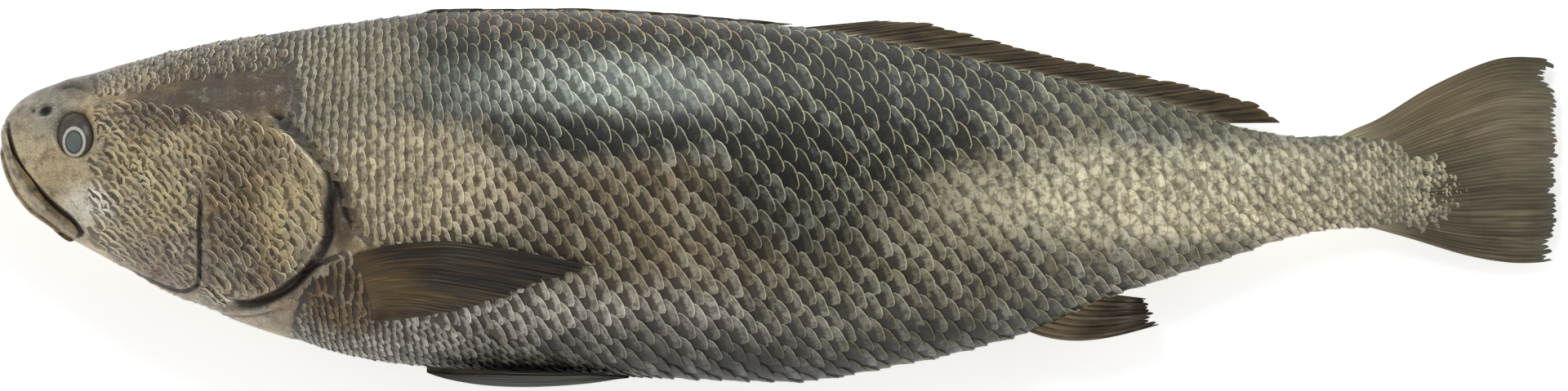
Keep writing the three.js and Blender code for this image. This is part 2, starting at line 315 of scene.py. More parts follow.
@dataclass(frozen=True)
class HeadRelief:
    """What stands out of or is let into the head's smooth form, the same on both flanks."""

    eye_at: Pair = (49.0, 39.2)
    eye_radii: Pair = (13.2, 16.2)
    eye_tilt: float = 0.28
    snout_edge: Spline = Spline(
        (
            (3, 50), (6.5, 47), (8, 38.5), (12, 26.5), (17.5, 17), (24, 9), (29.5, 3), (38, -5),
            (46, -11.5), (52, -18.5), (56, -25),
        )
    )
    cheek_crease: Spline = Spline(
        ((131, 17), (130.6, -4), (130, -32), (129, -52), (125, -58.5), (114, -60.5), (97, -54), (83, -48), (74, -43))
    )
    gill_edge: Spline = Spline(
        (
            (167, 56), (175, 49), (184, 42.5), (193, 35), (202, 25.5), (211, 13.5), (212, 2),
            (209.5, -10), (210, -23), (207, -31), (200, -42), (191, -51), (180, -58.5), (168, -64),
            (152, -66.5), (147, -62),
        )
    )
    shoulder_edge: Spline = Spline(
        (
            (160, 118), (170, 97), (184, 82), (190, 70), (189, 59), (184, 50), (194, 38), (203, 28),
            (211, 19), (219, 8), (223, -4), (227, -15), (236, -26), (243, -32), (226, -37), (206, -45),
            (196, -58), (190, -72), (186, -88), (190, -102),
        )
    )
    brow: Spline = Spline(((38, 66), (43, 69.3), (50, 69), (60, 64)))
    jaw_fold: Spline = Spline(((147, -66), (160, -68), (172, -66.5), (188, -59), (197, -49), (209, -42), (224, -36.5)))
    throat_fold: Spline = Spline(((112, -61.5), (122, -67), (134, -73), (150, -76.5), (170, -75), (190, -67)))

    def eye_share(self, s: Array, y: Array) -> Array:
        """How far out from the eye's middle a point lies.

        Args:
            s: Stations.
            y: Heights.
        Returns:
            The distance in the eye's own tilted axes, as a share of its radii: 1 is its rim.
        """
        ds, dy = s - self.eye_at[0], y - self.eye_at[1]
        turn_cos, turn_sin = np.cos(self.eye_tilt), np.sin(self.eye_tilt)
        across = (ds * turn_cos + dy * turn_sin) / self.eye_radii[0]
        upright = (-ds * turn_sin + dy * turn_cos) / self.eye_radii[1]
        return np.hypot(across, upright)

    def behind_shoulder(self, s: Array, y: Array) -> Array:
        """Distance behind the edge where the trunk's scales start, negative on the head."""
        distance, _ = self.shoulder_edge.measure(s, y, 72)
        return distance

    def nostril(self, s: Array, y: Array) -> Array:
        """A bell over the larger nostril, a slanting oval behind the snout's tip."""
        return hump(np.hypot((s - 30) * 0.62 + (y - 54) * 0.4, (y - 54) - (s - 30) * 0.55), 3.3)

    def height(self, s: Array, y: Array) -> Array:
        """Adds up the relief, in millimetres, over stations and heights.

        Args:
            s: Stations.
            y: Heights.
        Returns:
            Steps as smooth ramps and grooves as bells of the distance from each drawn edge.
        """
        share = self.eye_share(s, y)
        rise = -6.5 * (1 - ease(0.74, 1.0, share)) + 0.9 * hump(share - 1.1, 0.09) + 0.7 * hump(share - 1.3, 0.25)
        rise -= 3.0 * self.nostril(s, y)
        rise -= 1.5 * hump(np.hypot(s - 21.8, y - 54), 1.6) - 0.7 * hump(np.hypot(s - 26, y - 58), 4)
        off, along = self.brow.measure(s, y)
        rise += hump(off, 1.3) * -1.0 * np.sin(np.pi * along) + 0.8 * hump(off - 3, 2) * np.sin(np.pi * along)
        off, along = self.snout_edge.measure(s, y)
        fade = ease(0, 0.06, along) * ease(1, 0.93, along)
        rise += fade * (1.3 * hump(off - 1.4, 2.2) * (off > -3) - 3.2 * hump(off + 2.4, 2.2))
        off, along = self.cheek_crease.measure(s, y)
        fade = ease(0, 0.12, along) * ease(1, 0.75, along)
        rise += fade * (-2.0 * hump(off, 1.3) + 0.9 * hump(off + 3.5, 2.6) + 0.4 * hump(off - 4, 3))
        off, along = self.gill_edge.measure(s, y, 64)
        fade = ease(0, 0.14, along) * ease(1, 0.9, along)
        in_front = -off
        rise += fade * np.where(off < 0, 2.2 * hump(np.maximum(in_front - 1.5, 0), 14) * ease(0, 1.5, in_front), 0)
        rise -= fade * np.where(off >= 0, 3.2 * hump(off - 2.6, 3.4), 3.2 * hump(2.6, 3.4) * hump(in_front, 0.9))
        off, along = self.jaw_fold.measure(s, y)
        rise -= 2.2 * hump(off, 1.8) * ease(0, 0.1, along) * ease(1, 0.9, along)
        off, along = self.throat_fold.measure(s, y)
        rise += (0.9 * hump(off - 2.5, 2.2) - 1.0 * hump(off, 1.2)) * np.sin(np.pi * along) ** 0.5
        behind = self.behind_shoulder(s, y)
        nape = ease(30, 50, y)
        rise -= 0.5 * hump(behind, 1.5) * nape
        rise -= 2.4 * hump(behind + 1.5, 3.0) * (1 - nape) * ease(-34, -26, y)
        rise += 3.4 * hump(np.hypot((s - 222) / 16, (y + 62) / 17), 1.0)
        rise += 0.75 * self.ridged(s, y) * (wrinkles(s, y) - 0.5)
        rise += 0.5 * np.sin(s / 9 + 0.6 * np.sin(y / 7)) * np.sin(y / 8 + s / 21) * ease(20, 60, s) * ease(262, 225, s)
        return rise - 1.0 * ease(-1, 3, behind)

    def before_gill(self, s: Array, y: Array) -> Array:
        """Distance in front of the gill opening, and 30 further forward than its lower end."""
        gill, _ = self.gill_edge.measure(s, y, 48)
        return np.where(s < 147, np.maximum(30.0 * ease(147, 140, s), -gill), -gill)

    def ridged(self, s: Array, y: Array) -> Array:
        """How strongly the cheek and the gill cover are wrinkled, less towards the snout and the nape."""
        share = ease(66, 100, s + 0.35 * np.abs(y)) * ease(222, 200, s) * ease(68, 46, y)
        return share * ease(1.2, 1.7, self.eye_share(s, y)) * ease(0, 5, self.before_gill(s, y))

    def crease(self, s: Array, y: Array) -> Array:
        """How much painted shade each point gets, by how deep in a fold or slit it lies.

        Args:
            s: Stations.
            y: Heights.
        Returns:
            0 in the open, rising to about 1 at the bottom: the largest of the bells round each edge.
        """
        dark = 1.3 * self.nostril(s, y)
        dark = np.maximum(dark, 0.7 * hump(np.hypot(s - 21.8, y - 54), 1.5))
        for path, shift, width, strength, ends in (
            (self.brow, 0, 1.4, 0.6, 0.3),
            (self.cheek_crease, 0, 1.6, 1.25, 0.2),
            (self.gill_edge, -3.2, 4.2, 1.0, 0.12),
            (self.jaw_fold, 0, 2.4, 0.95, 0.1),
            (self.throat_fold, 0, 1.3, 0.6, 0.2),
        ):
            off, along = path.measure(s, y)
            fade = ease(0, ends, along) * ease(1, 1 - ends, along)
            dark = np.maximum(dark, strength * fade * hump(off + shift, width))
        # Painted shadow along the mouth's line, wider towards its corner.
        off, along = self.snout_edge.measure(s, y)
        gape = 1.2 * ease(-0.1, 0.3, along) * ease(1, 0.96, along)
        dark = np.maximum(dark, gape * hump(off + 1.8 + 2.0 * along, 1.2 + 3.2 * along**2))
        behind = self.behind_shoulder(s, y)
        dark = np.maximum(dark, 0.9 * hump(behind + 1.2, 2.4) * ease(44, 36, y) * ease(-34, -24, y))
        # Painted shade in the valleys between the cheek's wrinkles.
        valley = 0.3 * self.ridged(s, y) * ease(0.4, 0.1, wrinkles(s, y))
        dark = np.maximum(dark, valley)
        return np.maximum(dark, 0.45 * hump(behind, 1.4) * ease(36, 50, y) * ease(100, 80, y))


RELIEF = HeadRelief()


@dataclass
class SkinMap:
    """One flank unrolled: a station and a reach give a point of the skin and its outward normal.

    Reach is the arc length round the section from the side line, positive towards the back.
    """

    side: Side
    inset: float = 1.0
    floor: float = 1.5
    station_step: float = 2.0
    reach_step: float = 1.5
    head_ends: float = 264.0
    past_ridge: float = 0.32

    def __post_init__(self) -> None:
        """Samples the skin over stations and arc lengths and keeps its points and normals."""
        self.stations = np.arange(0, FORM.length + 1, self.station_step)
        angles = np.linspace(np.pi / 2 + self.past_ridge, -np.pi / 2 - self.past_ridge, 421)
        rings = FORM.skin(self.stations[:, None], angles[None, :], self.side, -self.inset)
        on_head = self.stations < self.head_ends
        outward = grid_normals(rings) * -self.side.value
        lift = np.zeros(rings.shape[:2])
        lift[on_head] = RELIEF.height(rings[on_head, :, 0], rings[on_head, :, 1])
        lift[on_head] += self.inset
        rings = rings + outward * lift[..., None]
        rings[..., 2] = np.maximum(rings[..., 2], self.floor)
        steps = np.linalg.norm(np.diff(rings[..., 1:], axis=1), axis=-1)
        arcs = np.concatenate([np.zeros((len(rings), 1)), np.cumsum(steps, 1)], 1)
        line = FORM.side_line(self.stations)
        upper, lower = abs(angles - np.pi / 2).argmin(), abs(angles + np.pi / 2).argmin()
        flank = slice(upper, lower + 1)
        start = np.array([np.interp(-h, -ring[flank, 1], arc[flank]) for h, ring, arc in zip(line, rings, arcs)])
        reach = start[:, None] - arcs
        self.top, self.bottom = reach[:, upper], reach[:, lower]
        self.reaches = np.arange(-230.0, 200.0, self.reach_step)
        self.points = np.stack(
            [
                np.stack([np.interp(self.reaches, r[::-1], ring[::-1, k]) for r, ring in zip(reach, rings)])
                for k in range(3)
            ],
            -1,
        )
        self.normals = grid_normals(self.points) * self.side.value

    def at(self, s: Array, reach: Array) -> tuple[Array, Array]:
        """Reads the map.

        Args:
            s: Stations.
            reach: Arc lengths from the side line.
        Returns:
            Points and unit normals, by bilinear interpolation between the samples.
        """
        u = np.clip(np.asarray(s) / self.station_step, 0, len(self.stations) - 1.001)
        v = np.clip((np.asarray(reach) - self.reaches[0]) / self.reach_step, 0, len(self.reaches) - 1.001)
        i, j = u.astype(int), v.astype(int)
        a, b = (u - i)[..., None], (v - j)[..., None]

        def read(table: Array) -> Array:
            """Blends the four samples round each place."""
            near = table[i, j] * (1 - b) + table[i, j + 1] * b
            far = table[i + 1, j] * (1 - b) + table[i + 1, j + 1] * b
            return near * (1 - a) + far * a

        normal = read(self.normals)
        return read(self.points), normal / np.maximum(np.linalg.norm(normal, axis=-1, keepdims=True), 1e-9)

    def ridge(self, s: Array) -> tuple[Array, Array]:
        """The reach of the belly's and of the back's middle line at each station."""
        return np.interp(s, self.stations, self.bottom), np.interp(s, self.stations, self.top)


@dataclass
class FinMap:
    """One face of the tail fin's root as a level sheet, read like the skin's map."""

    side: Side

    def at(self, s: Array, reach: Array) -> tuple[Array, Array]:
        """Reads the sheet.

        Args:
            s: Stations.
            reach: Heights above the side line.
        Returns:
            Points at the middle plane's level plus a half thickness that thins backwards, and level normals.
        """
        half = np.interp(s, (900, 915, 930, 948), (3.8, 3.1, 2.2, 1.5))
        level = FORM.middle(s) + self.side.value * half
        normals = np.zeros((*np.shape(s), 3))
        normals[..., 2] = self.side.value
        return np.stack([s, FORM.side_line(s) + reach + 1.5, level], -1), normals

    def ridge(self, s: Array) -> tuple[Array, Array]:
        """The fin's two outer rays, far enough out to leave every scale to the caller."""
        return np.full(np.shape(s), -60.0), np.full(np.shape(s), 60.0)


# ---- Mesh making ----


@dataclass
class Surface:
    """Vertices, four-cornered faces and what each vertex or face corner carries."""

    points: Array
    faces: Array
    corner_maps: dict[str, Array] = field(default_factory=dict)
    values: dict[str, Array] = field(default_factory=dict)

    def outward(self) -> "Surface":
        """Turns every face round when the closed surface is inside out, by the sign of its volume.

        Returns:
            The surface itself.
        """
        quads = self.points[self.faces]
        first = np.einsum("ij,ij->i", quads[:, 0], np.cross(quads[:, 1], quads[:, 2]))
        second = np.einsum("ij,ij->i", quads[:, 0], np.cross(quads[:, 2], quads[:, 3]))
        if (first + second).sum() < 0:
            self.flip()
        return self

    def flip(self) -> None:
        """Reverses the order of every face's corners."""
        self.faces = self.faces[:, ::-1]
        self.corner_maps = {name: uv[:, ::-1] for name, uv in self.corner_maps.items()}


def grid_quads(rows: int, columns: int, wrap: bool = False) -> tuple[Array, Array]:
    """Faces of a grid of points.

    Args:
        rows: Points one way.
        columns: Points the other way.
        wrap: Whether the last column joins the first.
    Returns:
        Vertex numbers of each face's corners, and the corners' unwrapped row and column.
    """
    across = columns if wrap else columns - 1
    i, j = np.meshgrid(np.arange(rows - 1), np.arange(across), indexing="ij")
    corner_rows = np.stack([i, i + 1, i + 1, i], -1).reshape(-1, 4)
    corner_columns = np.stack([j, j, j + 1, j + 1], -1).reshape(-1, 4)
    faces = corner_rows * columns + corner_columns % columns
    return faces, np.stack([corner_rows, corner_columns], -1).astype(float)


def tube(rings: Array, map_name: str = "OFBake") -> Surface:
    """Closes a stack of rings into a tube with its ends capped to their middles.

    Args:
        rings: Points as (ring, place round it, 3).
        map_name: The UV map that runs along and round the tube.
    Returns:
        The closed surface.
    """
    rows, columns = rings.shape[:2]
    middles = rings[[0, -1]].mean(1, keepdims=True).repeat(columns, 1)
    stack = np.concatenate([middles[:1], rings, middles[1:]])
    faces, cells = grid_quads(rows + 2, columns, wrap=True)
    spread = cells / [rows + 1, columns]
    points = stack.reshape(-1, 3)
    keep = np.arange(len(points))
    keep[:columns] = 0
    keep[-columns:] = len(points) - 1
    uv = 0.01 + 0.98 * spread
    return Surface(points, keep[faces], {map_name: uv}).outward()


def plate(upper: Array, lower: Array) -> Surface:
    """Closes two sheets over one grid into a plate with walls round its edge.

    Args:
        upper: Points of one sheet as (row, column, 3).
        lower: Points of the other.
    Returns:
        The closed surface, with each sheet in its own half of the map and the walls beside it.
    """
    rows, columns = upper.shape[:2]
    under = rows * columns
    faces, cells = grid_quads(rows, columns)
    map_size, map_edge = np.array([0.46, 0.96]), 0.02
    upper_uv = cells / [rows - 1, columns - 1] * map_size + map_edge
    number = np.arange(under).reshape(rows, columns)
    shares = np.stack(np.meshgrid(np.linspace(0, 1, rows), np.linspace(0, 1, columns), indexing="ij"), -1)
    flat = shares * map_size + map_edge
    all_faces, all_uv = [faces, faces[:, ::-1] + under], [upper_uv, upper_uv[:, ::-1] + [0.5, 0]]
    rims = (
        (number[0], flat[0], (-0.01, 0)),
        (number[:, -1], flat[:, -1], (0, 0.01)),
        (number[-1, ::-1], flat[-1, ::-1], (0.01, 0)),
        (number[::-1, 0], flat[::-1, 0], (0, -0.01)),
    )
    for rim, uv, out in rims:
        a, b = rim[:-1], rim[1:]
        all_faces.append(np.stack([b, a, a + under, b + under], -1))
        all_uv.append(np.stack([uv[1:], uv[:-1], uv[:-1] + out, uv[1:] + out], 1))
    points = np.concatenate([upper.reshape(-1, 3), lower.reshape(-1, 3)])
    made = Surface(points, np.concatenate(all_faces), {"OFBake": np.concatenate(all_uv)})
    made.corner_maps["Rays"] = np.tile(shares.reshape(-1, 2), (2, 1))[made.faces]
    return made.outward()


def make_piece(name: str, surface: Surface, material: bpy.types.Material) -> bpy.types.Object:
    """Puts a surface into Blender as one piece on the root body.

    Args:
        name: The piece's name.
        surface: Its vertices in the fish's measures, faces, maps and values.
        material: Its finish.
    Returns:
        The object, at the origin, with its place in its mesh.
    """
    mesh = bpy.data.meshes.new(name)
    points, faces = FORM.place(surface.points), surface.faces
    keep = faces != np.roll(faces, 1, axis=1)
    sizes = keep.sum(1)
    mesh.vertices.add(len(points))
    mesh.vertices.foreach_set("co", points.astype(np.float32).ravel())
    mesh.loops.add(int(sizes.sum()))
    mesh.loops.foreach_set("vertex_index", faces[keep].astype(np.int32))
    mesh.polygons.add(len(faces))
    mesh.polygons.foreach_set("loop_start", np.concatenate([[0], np.cumsum(sizes)[:-1]]).astype(np.int32))
    mesh.polygons.foreach_set("loop_total", sizes.astype(np.int32))
    mesh.update(calc_edges=True)
    mesh.shade_smooth()
    for map_name, uv in surface.corner_maps.items():
        layer = mesh.uv_layers.new(name=map_name, do_init=False)
        layer.uv.foreach_set("vector", uv[keep].astype(np.float32).ravel())
    for value_name, numbers in surface.values.items():
        attribute = mesh.attributes.new(value_name, "FLOAT", "POINT")
        attribute.data.foreach_set("value", numbers.astype(np.float32))
    mesh.materials.append(material)
    piece = bpy.data.objects.new(name, mesh)
    bpy.context.scene.collection.objects.link(piece)
    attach(piece, "root")
    LOG.info("%s: %d faces", name, len(faces))
    return piece


# ---- Finishes ----


class Value:
    """A number socket of a finish; arithmetic on it adds Math nodes."""

    def __init__(self, bench: "Bench", socket: bpy.types.NodeSocket) -> None:
        """Keeps the socket and the bench it belongs to."""
        self.bench, self.socket = bench, socket

    def _join(self, operation: str, first: object, second: object = None) -> "Value":
        """One Math node on one or two values or numbers."""
        values = {0: first} if second is None else {0: first, 1: second}
        return self.bench.value(self.bench.add("ShaderNodeMath", {"operation": operation}, values))

    def __add__(self, other: object) -> "Value":
        """Sum."""
        return self._join("ADD", self, other)

    def __sub__(self, other: object) -> "Value":
        """Difference."""
        return self._join("SUBTRACT", self, other)

    def __rsub__(self, other: object) -> "Value":
        """Difference from a number."""
        return self._join("SUBTRACT", other, self)

    def __mul__(self, other: object) -> "Value":
        """Product."""
        return self._join("MULTIPLY", self, other)

    __radd__, __rmul__ = __add__, __mul__

    def highest(self, other: object) -> "Value":
        """The larger of the two."""
        return self._join("MAXIMUM", self, other)

    def sine(self) -> "Value":
        """Sine of the value in radians."""
        return self._join("SINE", self)

    def ease(self, low: float, high: float) -> "Value":
        """Goes smoothly from 0 to 1.

        Args:
            low: Where it starts.
            high: Where it ends; below low, it falls instead of rising.
        Returns:
            The eased value.
        """
        node = self.bench.add(
            "ShaderNodeMapRange",
            {"interpolation_type": "SMOOTHSTEP"},
            {"Value": self, "From Min": low, "From Max": high},
        )
        return self.bench.value(node)


class Bench:
    """Builds one finish's nodes round a Principled shader."""

    def __init__(self, name: str) -> None:
        """Makes the material with its shader and output."""
        self.material = bpy.data.materials.new(name)
        self.material.use_nodes = True
        self.tree = self.material.node_tree
        self.tree.nodes.clear()
        self.shader = self.add("ShaderNodeBsdfPrincipled")
        self.add("ShaderNodeOutputMaterial", {}, {"Surface": self.shader.outputs[0]})
        self.place = self.add("ShaderNodeTexCoord").outputs["Object"]

    def add(self, kind: str, settings: dict | None = None, inputs: dict | None = None) -> bpy.types.Node:
        """Adds any node.

        Args:
            kind: The node's type.
            settings: Properties, set first.
            inputs: Numbers, colours, vectors, values or sockets by input name or number.
        Returns:
            The node.
        """
        node = self.tree.nodes.new(kind)
        for key, setting in (settings or {}).items():
            setattr(node, key, setting)
        self.feed(node, inputs or {})
        return node

    def feed(self, node: bpy.types.Node, inputs: dict) -> None:
        """Sets or links a node's inputs.

        Args:
            node: The node.
            inputs: Numbers, colours, vectors, values or sockets by input name or number.
        """
        for key, given in inputs.items():
            given = given.socket if isinstance(given, Value) else given
            if isinstance(given, bpy.types.NodeSocket):
                self.tree.links.new(given, node.inputs[key])
            else:
                node.inputs[key].default_value = given

    def value(self, node: bpy.types.Node, output: str | int = 0) -> Value:
        """Wraps a node's output as a value."""
        return Value(self, node.outputs[output])

    def axes(self, vector: bpy.types.NodeSocket) -> tuple[Value, Value, Value]:
        """The three parts of a vector."""
        node = self.add("ShaderNodeSeparateXYZ", {}, {0: vector})
        return self.value(node, 0), self.value(node, 1), self.value(node, 2)

    def chart(self, name: str) -> bpy.types.NodeSocket:
        """One of the piece's own UV maps."""
        return self.add("ShaderNodeUVMap", {"uv_map": name}).outputs[0]

    def carried(self, name: str) -> Value:
        """A number the mesh carries at each vertex."""
        return self.value(self.add("ShaderNodeAttribute", {"attribute_name": name}), "Fac")

    def vector(self, operation: str, first: object, second: object) -> bpy.types.NodeSocket:
        """One Vector Math node."""
        return self.add("ShaderNodeVectorMath", {"operation": operation}, {0: first, 1: second}).outputs[0]

    def noise(
        self, scale: float, detail: float = 3.0, rough: float = 0.55, where: object = None, bend: float = 0.0
    ) -> Value:
        """Cloudy noise from 0 to 1.

        Args:
            scale: How many clouds there are to a metre, or to a unit of the given map.
            detail: Octaves.
            rough: How strong the finer octaves are.
            where: Coordinates instead of the object's own.
            bend: Distortion.
        Returns:
            The noise.
        """
        inputs = {"Vector": where or self.place, "Scale": scale, "Detail": detail, "Roughness": rough}
        inputs["Distortion"] = bend
        return self.value(self.add("ShaderNodeTexNoise", {}, inputs))

    def cracks(self, scale: float, wander: Value, amount: float) -> Value:
        """Distance from the borders between irregular cells, with their places pushed about by a value.

        Args:
            scale: How many cells there are to a metre.
            wander: The value that bends the borders.
            amount: How far it bends them, in metres.
        Returns:
            0 on a border, rising into each cell.
        """
        offsets = {0: wander * amount, 1: wander * (-0.6 * amount), 2: 0.0}
        push = self.add("ShaderNodeCombineXYZ", {}, offsets).outputs[0]
        inputs = {"Vector": self.vector("ADD", self.place, push), "Scale": scale}
        return self.value(self.add("ShaderNodeTexVoronoi", {"feature": "DISTANCE_TO_EDGE"}, inputs))

    def blend(self, share: object, first: object, second: object) -> bpy.types.NodeSocket:
        """Mixes two colours by a share."""
        return self.add("ShaderNodeMix", {"data_type": "RGBA"}, {0: share, 6: first, 7: second}).outputs[2]

    def glaze(self, base: object, *coats: tuple[object, object]) -> bpy.types.NodeSocket:
        """Lays colours over a base, one on the other.

        Args:
            base: The colour underneath.
            coats: Each coat's share and its colour, as a code or a socket.
        Returns:
            The colour on top.
        """
        for share, shade in coats:
            base = self.blend(share, base, colour(shade) if isinstance(shade, str) else shade)
        return base

    def oval(self, centre: Pair, radii: Pair) -> Value:
        """How far out a place lies from an oval's middle, seen along the fish's thickness.

        Args:
            centre: The oval's station and height.
            radii: Its half length and half height.
        Returns:
            0 at the middle and 1 on the rim.
        """
        middle = FORM.place(np.array([*centre, 0.0]))
        moved = self.vector("SUBTRACT", self.place, tuple(middle))
        scaled = self.vector("MULTIPLY", moved, (1 / (radii[0] * MM), 1 / (radii[1] * MM), 0.0))
        return self.value(self.add("ShaderNodeVectorMath", {"operation": "LENGTH"}, {0: scaled}), "Value")

    def patch(self, centre: Pair, radii: Pair, edge: float, wander: object = 0.0) -> Value:
        """A soft-edged oval region seen along the fish's thickness.

        Args:
            centre: Its station and height.
            radii: Its half length and half height.
            edge: Width of its soft edge as a share of the radii.
            wander: A value added to the distance, to make the edge uneven.
        Returns:
            1 inside the oval, falling to 0 outside.
        """
        return (self.oval(centre, radii) + wander).ease(1 + edge, 1 - edge)

    def bump(self, height: Value, distance: float) -> bpy.types.NodeSocket:
        """A Bump node's normal."""
        return self.add("ShaderNodeBump", {}, {"Height": height, "Distance": distance, "Strength": 1.0}).outputs[0]

    def finish(self, inputs: dict) -> bpy.types.Material:
        """Sets the shader's sockets and gives the material back."""
        self.feed(self.shader, inputs)
        return self.material


@dataclass(frozen=True)
class ScaleTones:
    """The colours of a scale in one region of the coat."""

    face: str
    rim: str
    base: str


@dataclass(frozen=True)
class ScaledCoat:
    """The finish of the scales by regions: dark bases, mottled faces, thin bright rims, a painted highlight band and
    painted shade bands.
    """

    flank: ScaleTones = ScaleTones("8f8d80", "bcb8a6", "332a1f")
    sheen: str = "82867e"
    # Dark grain, and also the painted shadow line under each rim.
    deep: str = "140f0a"
    glint: str = "e3d9bd"
    silver: tuple[tuple[Pair, Pair], ...] = (((790, 0), (180, 52)), ((250, 40), (66, 66)))
    regions: tuple[tuple[ScaleTones, tuple[tuple[Pair, Pair, float], ...]], ...] = (
        (ScaleTones("a8a498", "c8c3b2", "3d3227"), (((350, -72), (110, 26), 0.5), ((262, -90), (50, 20), 0.5))),
        (ScaleTones("67635a", "99948a", "1b1711"), (((450, -98), (140, 20), 0.5),)),
        (ScaleTones("676250", "a09e88", "1c1710"), (((600, -55), (120, 44), 0.5),)),
        (ScaleTones("7d6e55", "ab9b7c", "322a1e"), (((420, 2), (116, 26), 0.7), ((420, -28), (124, 28), 0.8))),
        (ScaleTones("464234", "8f8b78", "14110b"), (((518, 6), (62, 46), 0.5),)),
        (ScaleTones("948b74", "bdb395", "292419"), (((612, 10), (54, 56), 0.7), ((668, 42), (44, 28), 0.7))),
        (ScaleTones("2e2d25", "b8ac86", "100e09"), (((440, 80), (260, 46), 0.25), ((560, 40), (100, 40), 0.4))),
        (ScaleTones("3c3123", "b3986a", "1a140d"), (((330, 112), (170, 12), 0.6), ((160, 102), (90, 14), 0.6))),
        # Painted highlight: a pale silver-grey patch on the upper back, where the back_window lamp's reflection also
        # falls.
        (ScaleTones("949a90", "dfdac4", "43453b"), (((375, 69), (80, 19), 0.9),)),
        # Painted shade: a dark band under the highlight, between the lamps' reflections.
        (ScaleTones("2b2a22", "a89f82", "0f0d09"), (((400, 38), (130, 12), 0.6),)),
        (ScaleTones("a3987f", "d2c5a4", "2a2219"), (((222, 80), (46, 32), 0.5),)),
        (ScaleTones("cbb997", "e8dcba", "43362a"), (((258, -2), (64, 46), 0.45),)),
        (ScaleTones("e9ddbb", "a3977a", "3d3626"), (((770, 2), (140, 34), 0.45), ((890, 10), (84, 26), 0.5))),
        (ScaleTones("6f573a", "a2875a", "2d2216"), (((222, -66), (28, 22), 0.5),)),
        # Painted shade: the belly's lower edge, turned away from the light, made near black.
        (ScaleTones("191511", "3b3529", "0d0b09"), (((470, -121), (240, 22), 0.6),)),
        (ScaleTones("6b6650", "a39c80", "221e15"), (((770, 54), (100, 20), 0.6), ((790, -42), (70, 14), 0.6))),
        # Painted shade: a darker strip along the rear of the belly's edge.
        (ScaleTones("2f291d", "6b6248", "15120c"), (((618, -96), (88, 20), 0.6),)),
    )

    def build(self) -> bpy.types.Material:
        """Mixes the regions' tones and lays rim, face and base over each scale's own map.

        Returns:
            The material.
        """
        bench = Bench("scaled_coat")
        local_u, _, _ = bench.axes(bench.chart("ScaleLocal"))
        first, second, _ = bench.axes(bench.chart("ScaleRandom"))
        from_rim = local_u * RIM_SPAN
        wander = (bench.noise(14, 3) - 0.5) * 0.8 + (first - 0.5) * 0.25
        face, rim, base = (colour(code) for code in (self.flank.face, self.flank.rim, self.flank.base))
        for tones, ovals in self.regions:
            share = None
            for centre, radii, edge in ovals:
                oval = bench.patch(centre, radii, edge, wander)
                share = oval if share is None else share.highest(oval)
            face = bench.blend(share, face, colour(tones.face))
            rim = bench.blend(share, rim, colour(tones.rim))
            base = bench.blend(share, base, colour(tones.base))
        mottle = bench.noise(230, 4, 0.65)
        fine = bench.noise(1000, 3, 0.6)
        jitter = (second - 0.5) * 1.6 + (bench.noise(520, 3, 0.6) - 0.5) * 5.0
        tail, shoulder = (bench.patch(centre, radii, 0.5, wander) for centre, radii in self.silver)
        silver = tail.highest(shoulder * 0.7)
        dark = (from_rim + jitter - silver * 2.4).ease(3.8, 6.2)
        bright = (from_rim + (fine - 0.5) * 0.8).ease(1.0, 0.45)
        cloud = (bench.noise(90, 4, 0.6, None, 0.6) + (first - 0.5) * 0.3).ease(0.5, 0.66)
        shade = bench.blend(cloud * 0.32, face, colour(self.sheen))
        shade = bench.glaze(
            shade,
            (mottle.ease(0.4, 0.66) * 0.7, base),
            (dark * (0.92 - silver * 0.42), base),
            (fine.ease(0.45, 0.75) * 0.3, self.deep),
            (bright * (mottle.ease(0.7, 0.3) * 0.35 + 0.65), rim),
            (fine.ease(0.66, 0.8) * (1 - dark) * 0.4, self.glint),
            # Painted shadow: a thin dark line on the buried wall under each rim.
            (from_rim.ease(-0.1, -0.9), self.deep),
        )
        glow = bench.add("ShaderNodeHueSaturation", {}, {"Value": first * 0.5 + 0.75, "Color": shade}).outputs[0]
        rings = (from_rim * 11.0 + (fine - 0.5) * 4).sine()
        relief = rings * 0.2 + mottle * 0.8 + fine * 0.6
        return bench.finish(
            {
                "Base Color": glow,
                "Metallic": (1 - dark) * 0.15,
                "Roughness": mottle * 0.22 + fine * 0.14 + 0.24,
                "Specular IOR Level": 0.4,
                "Coat Weight": 0.12,
                "Coat Roughness": 0.18,
                "Normal": bench.bump(relief, 0.00022),
            }
        )


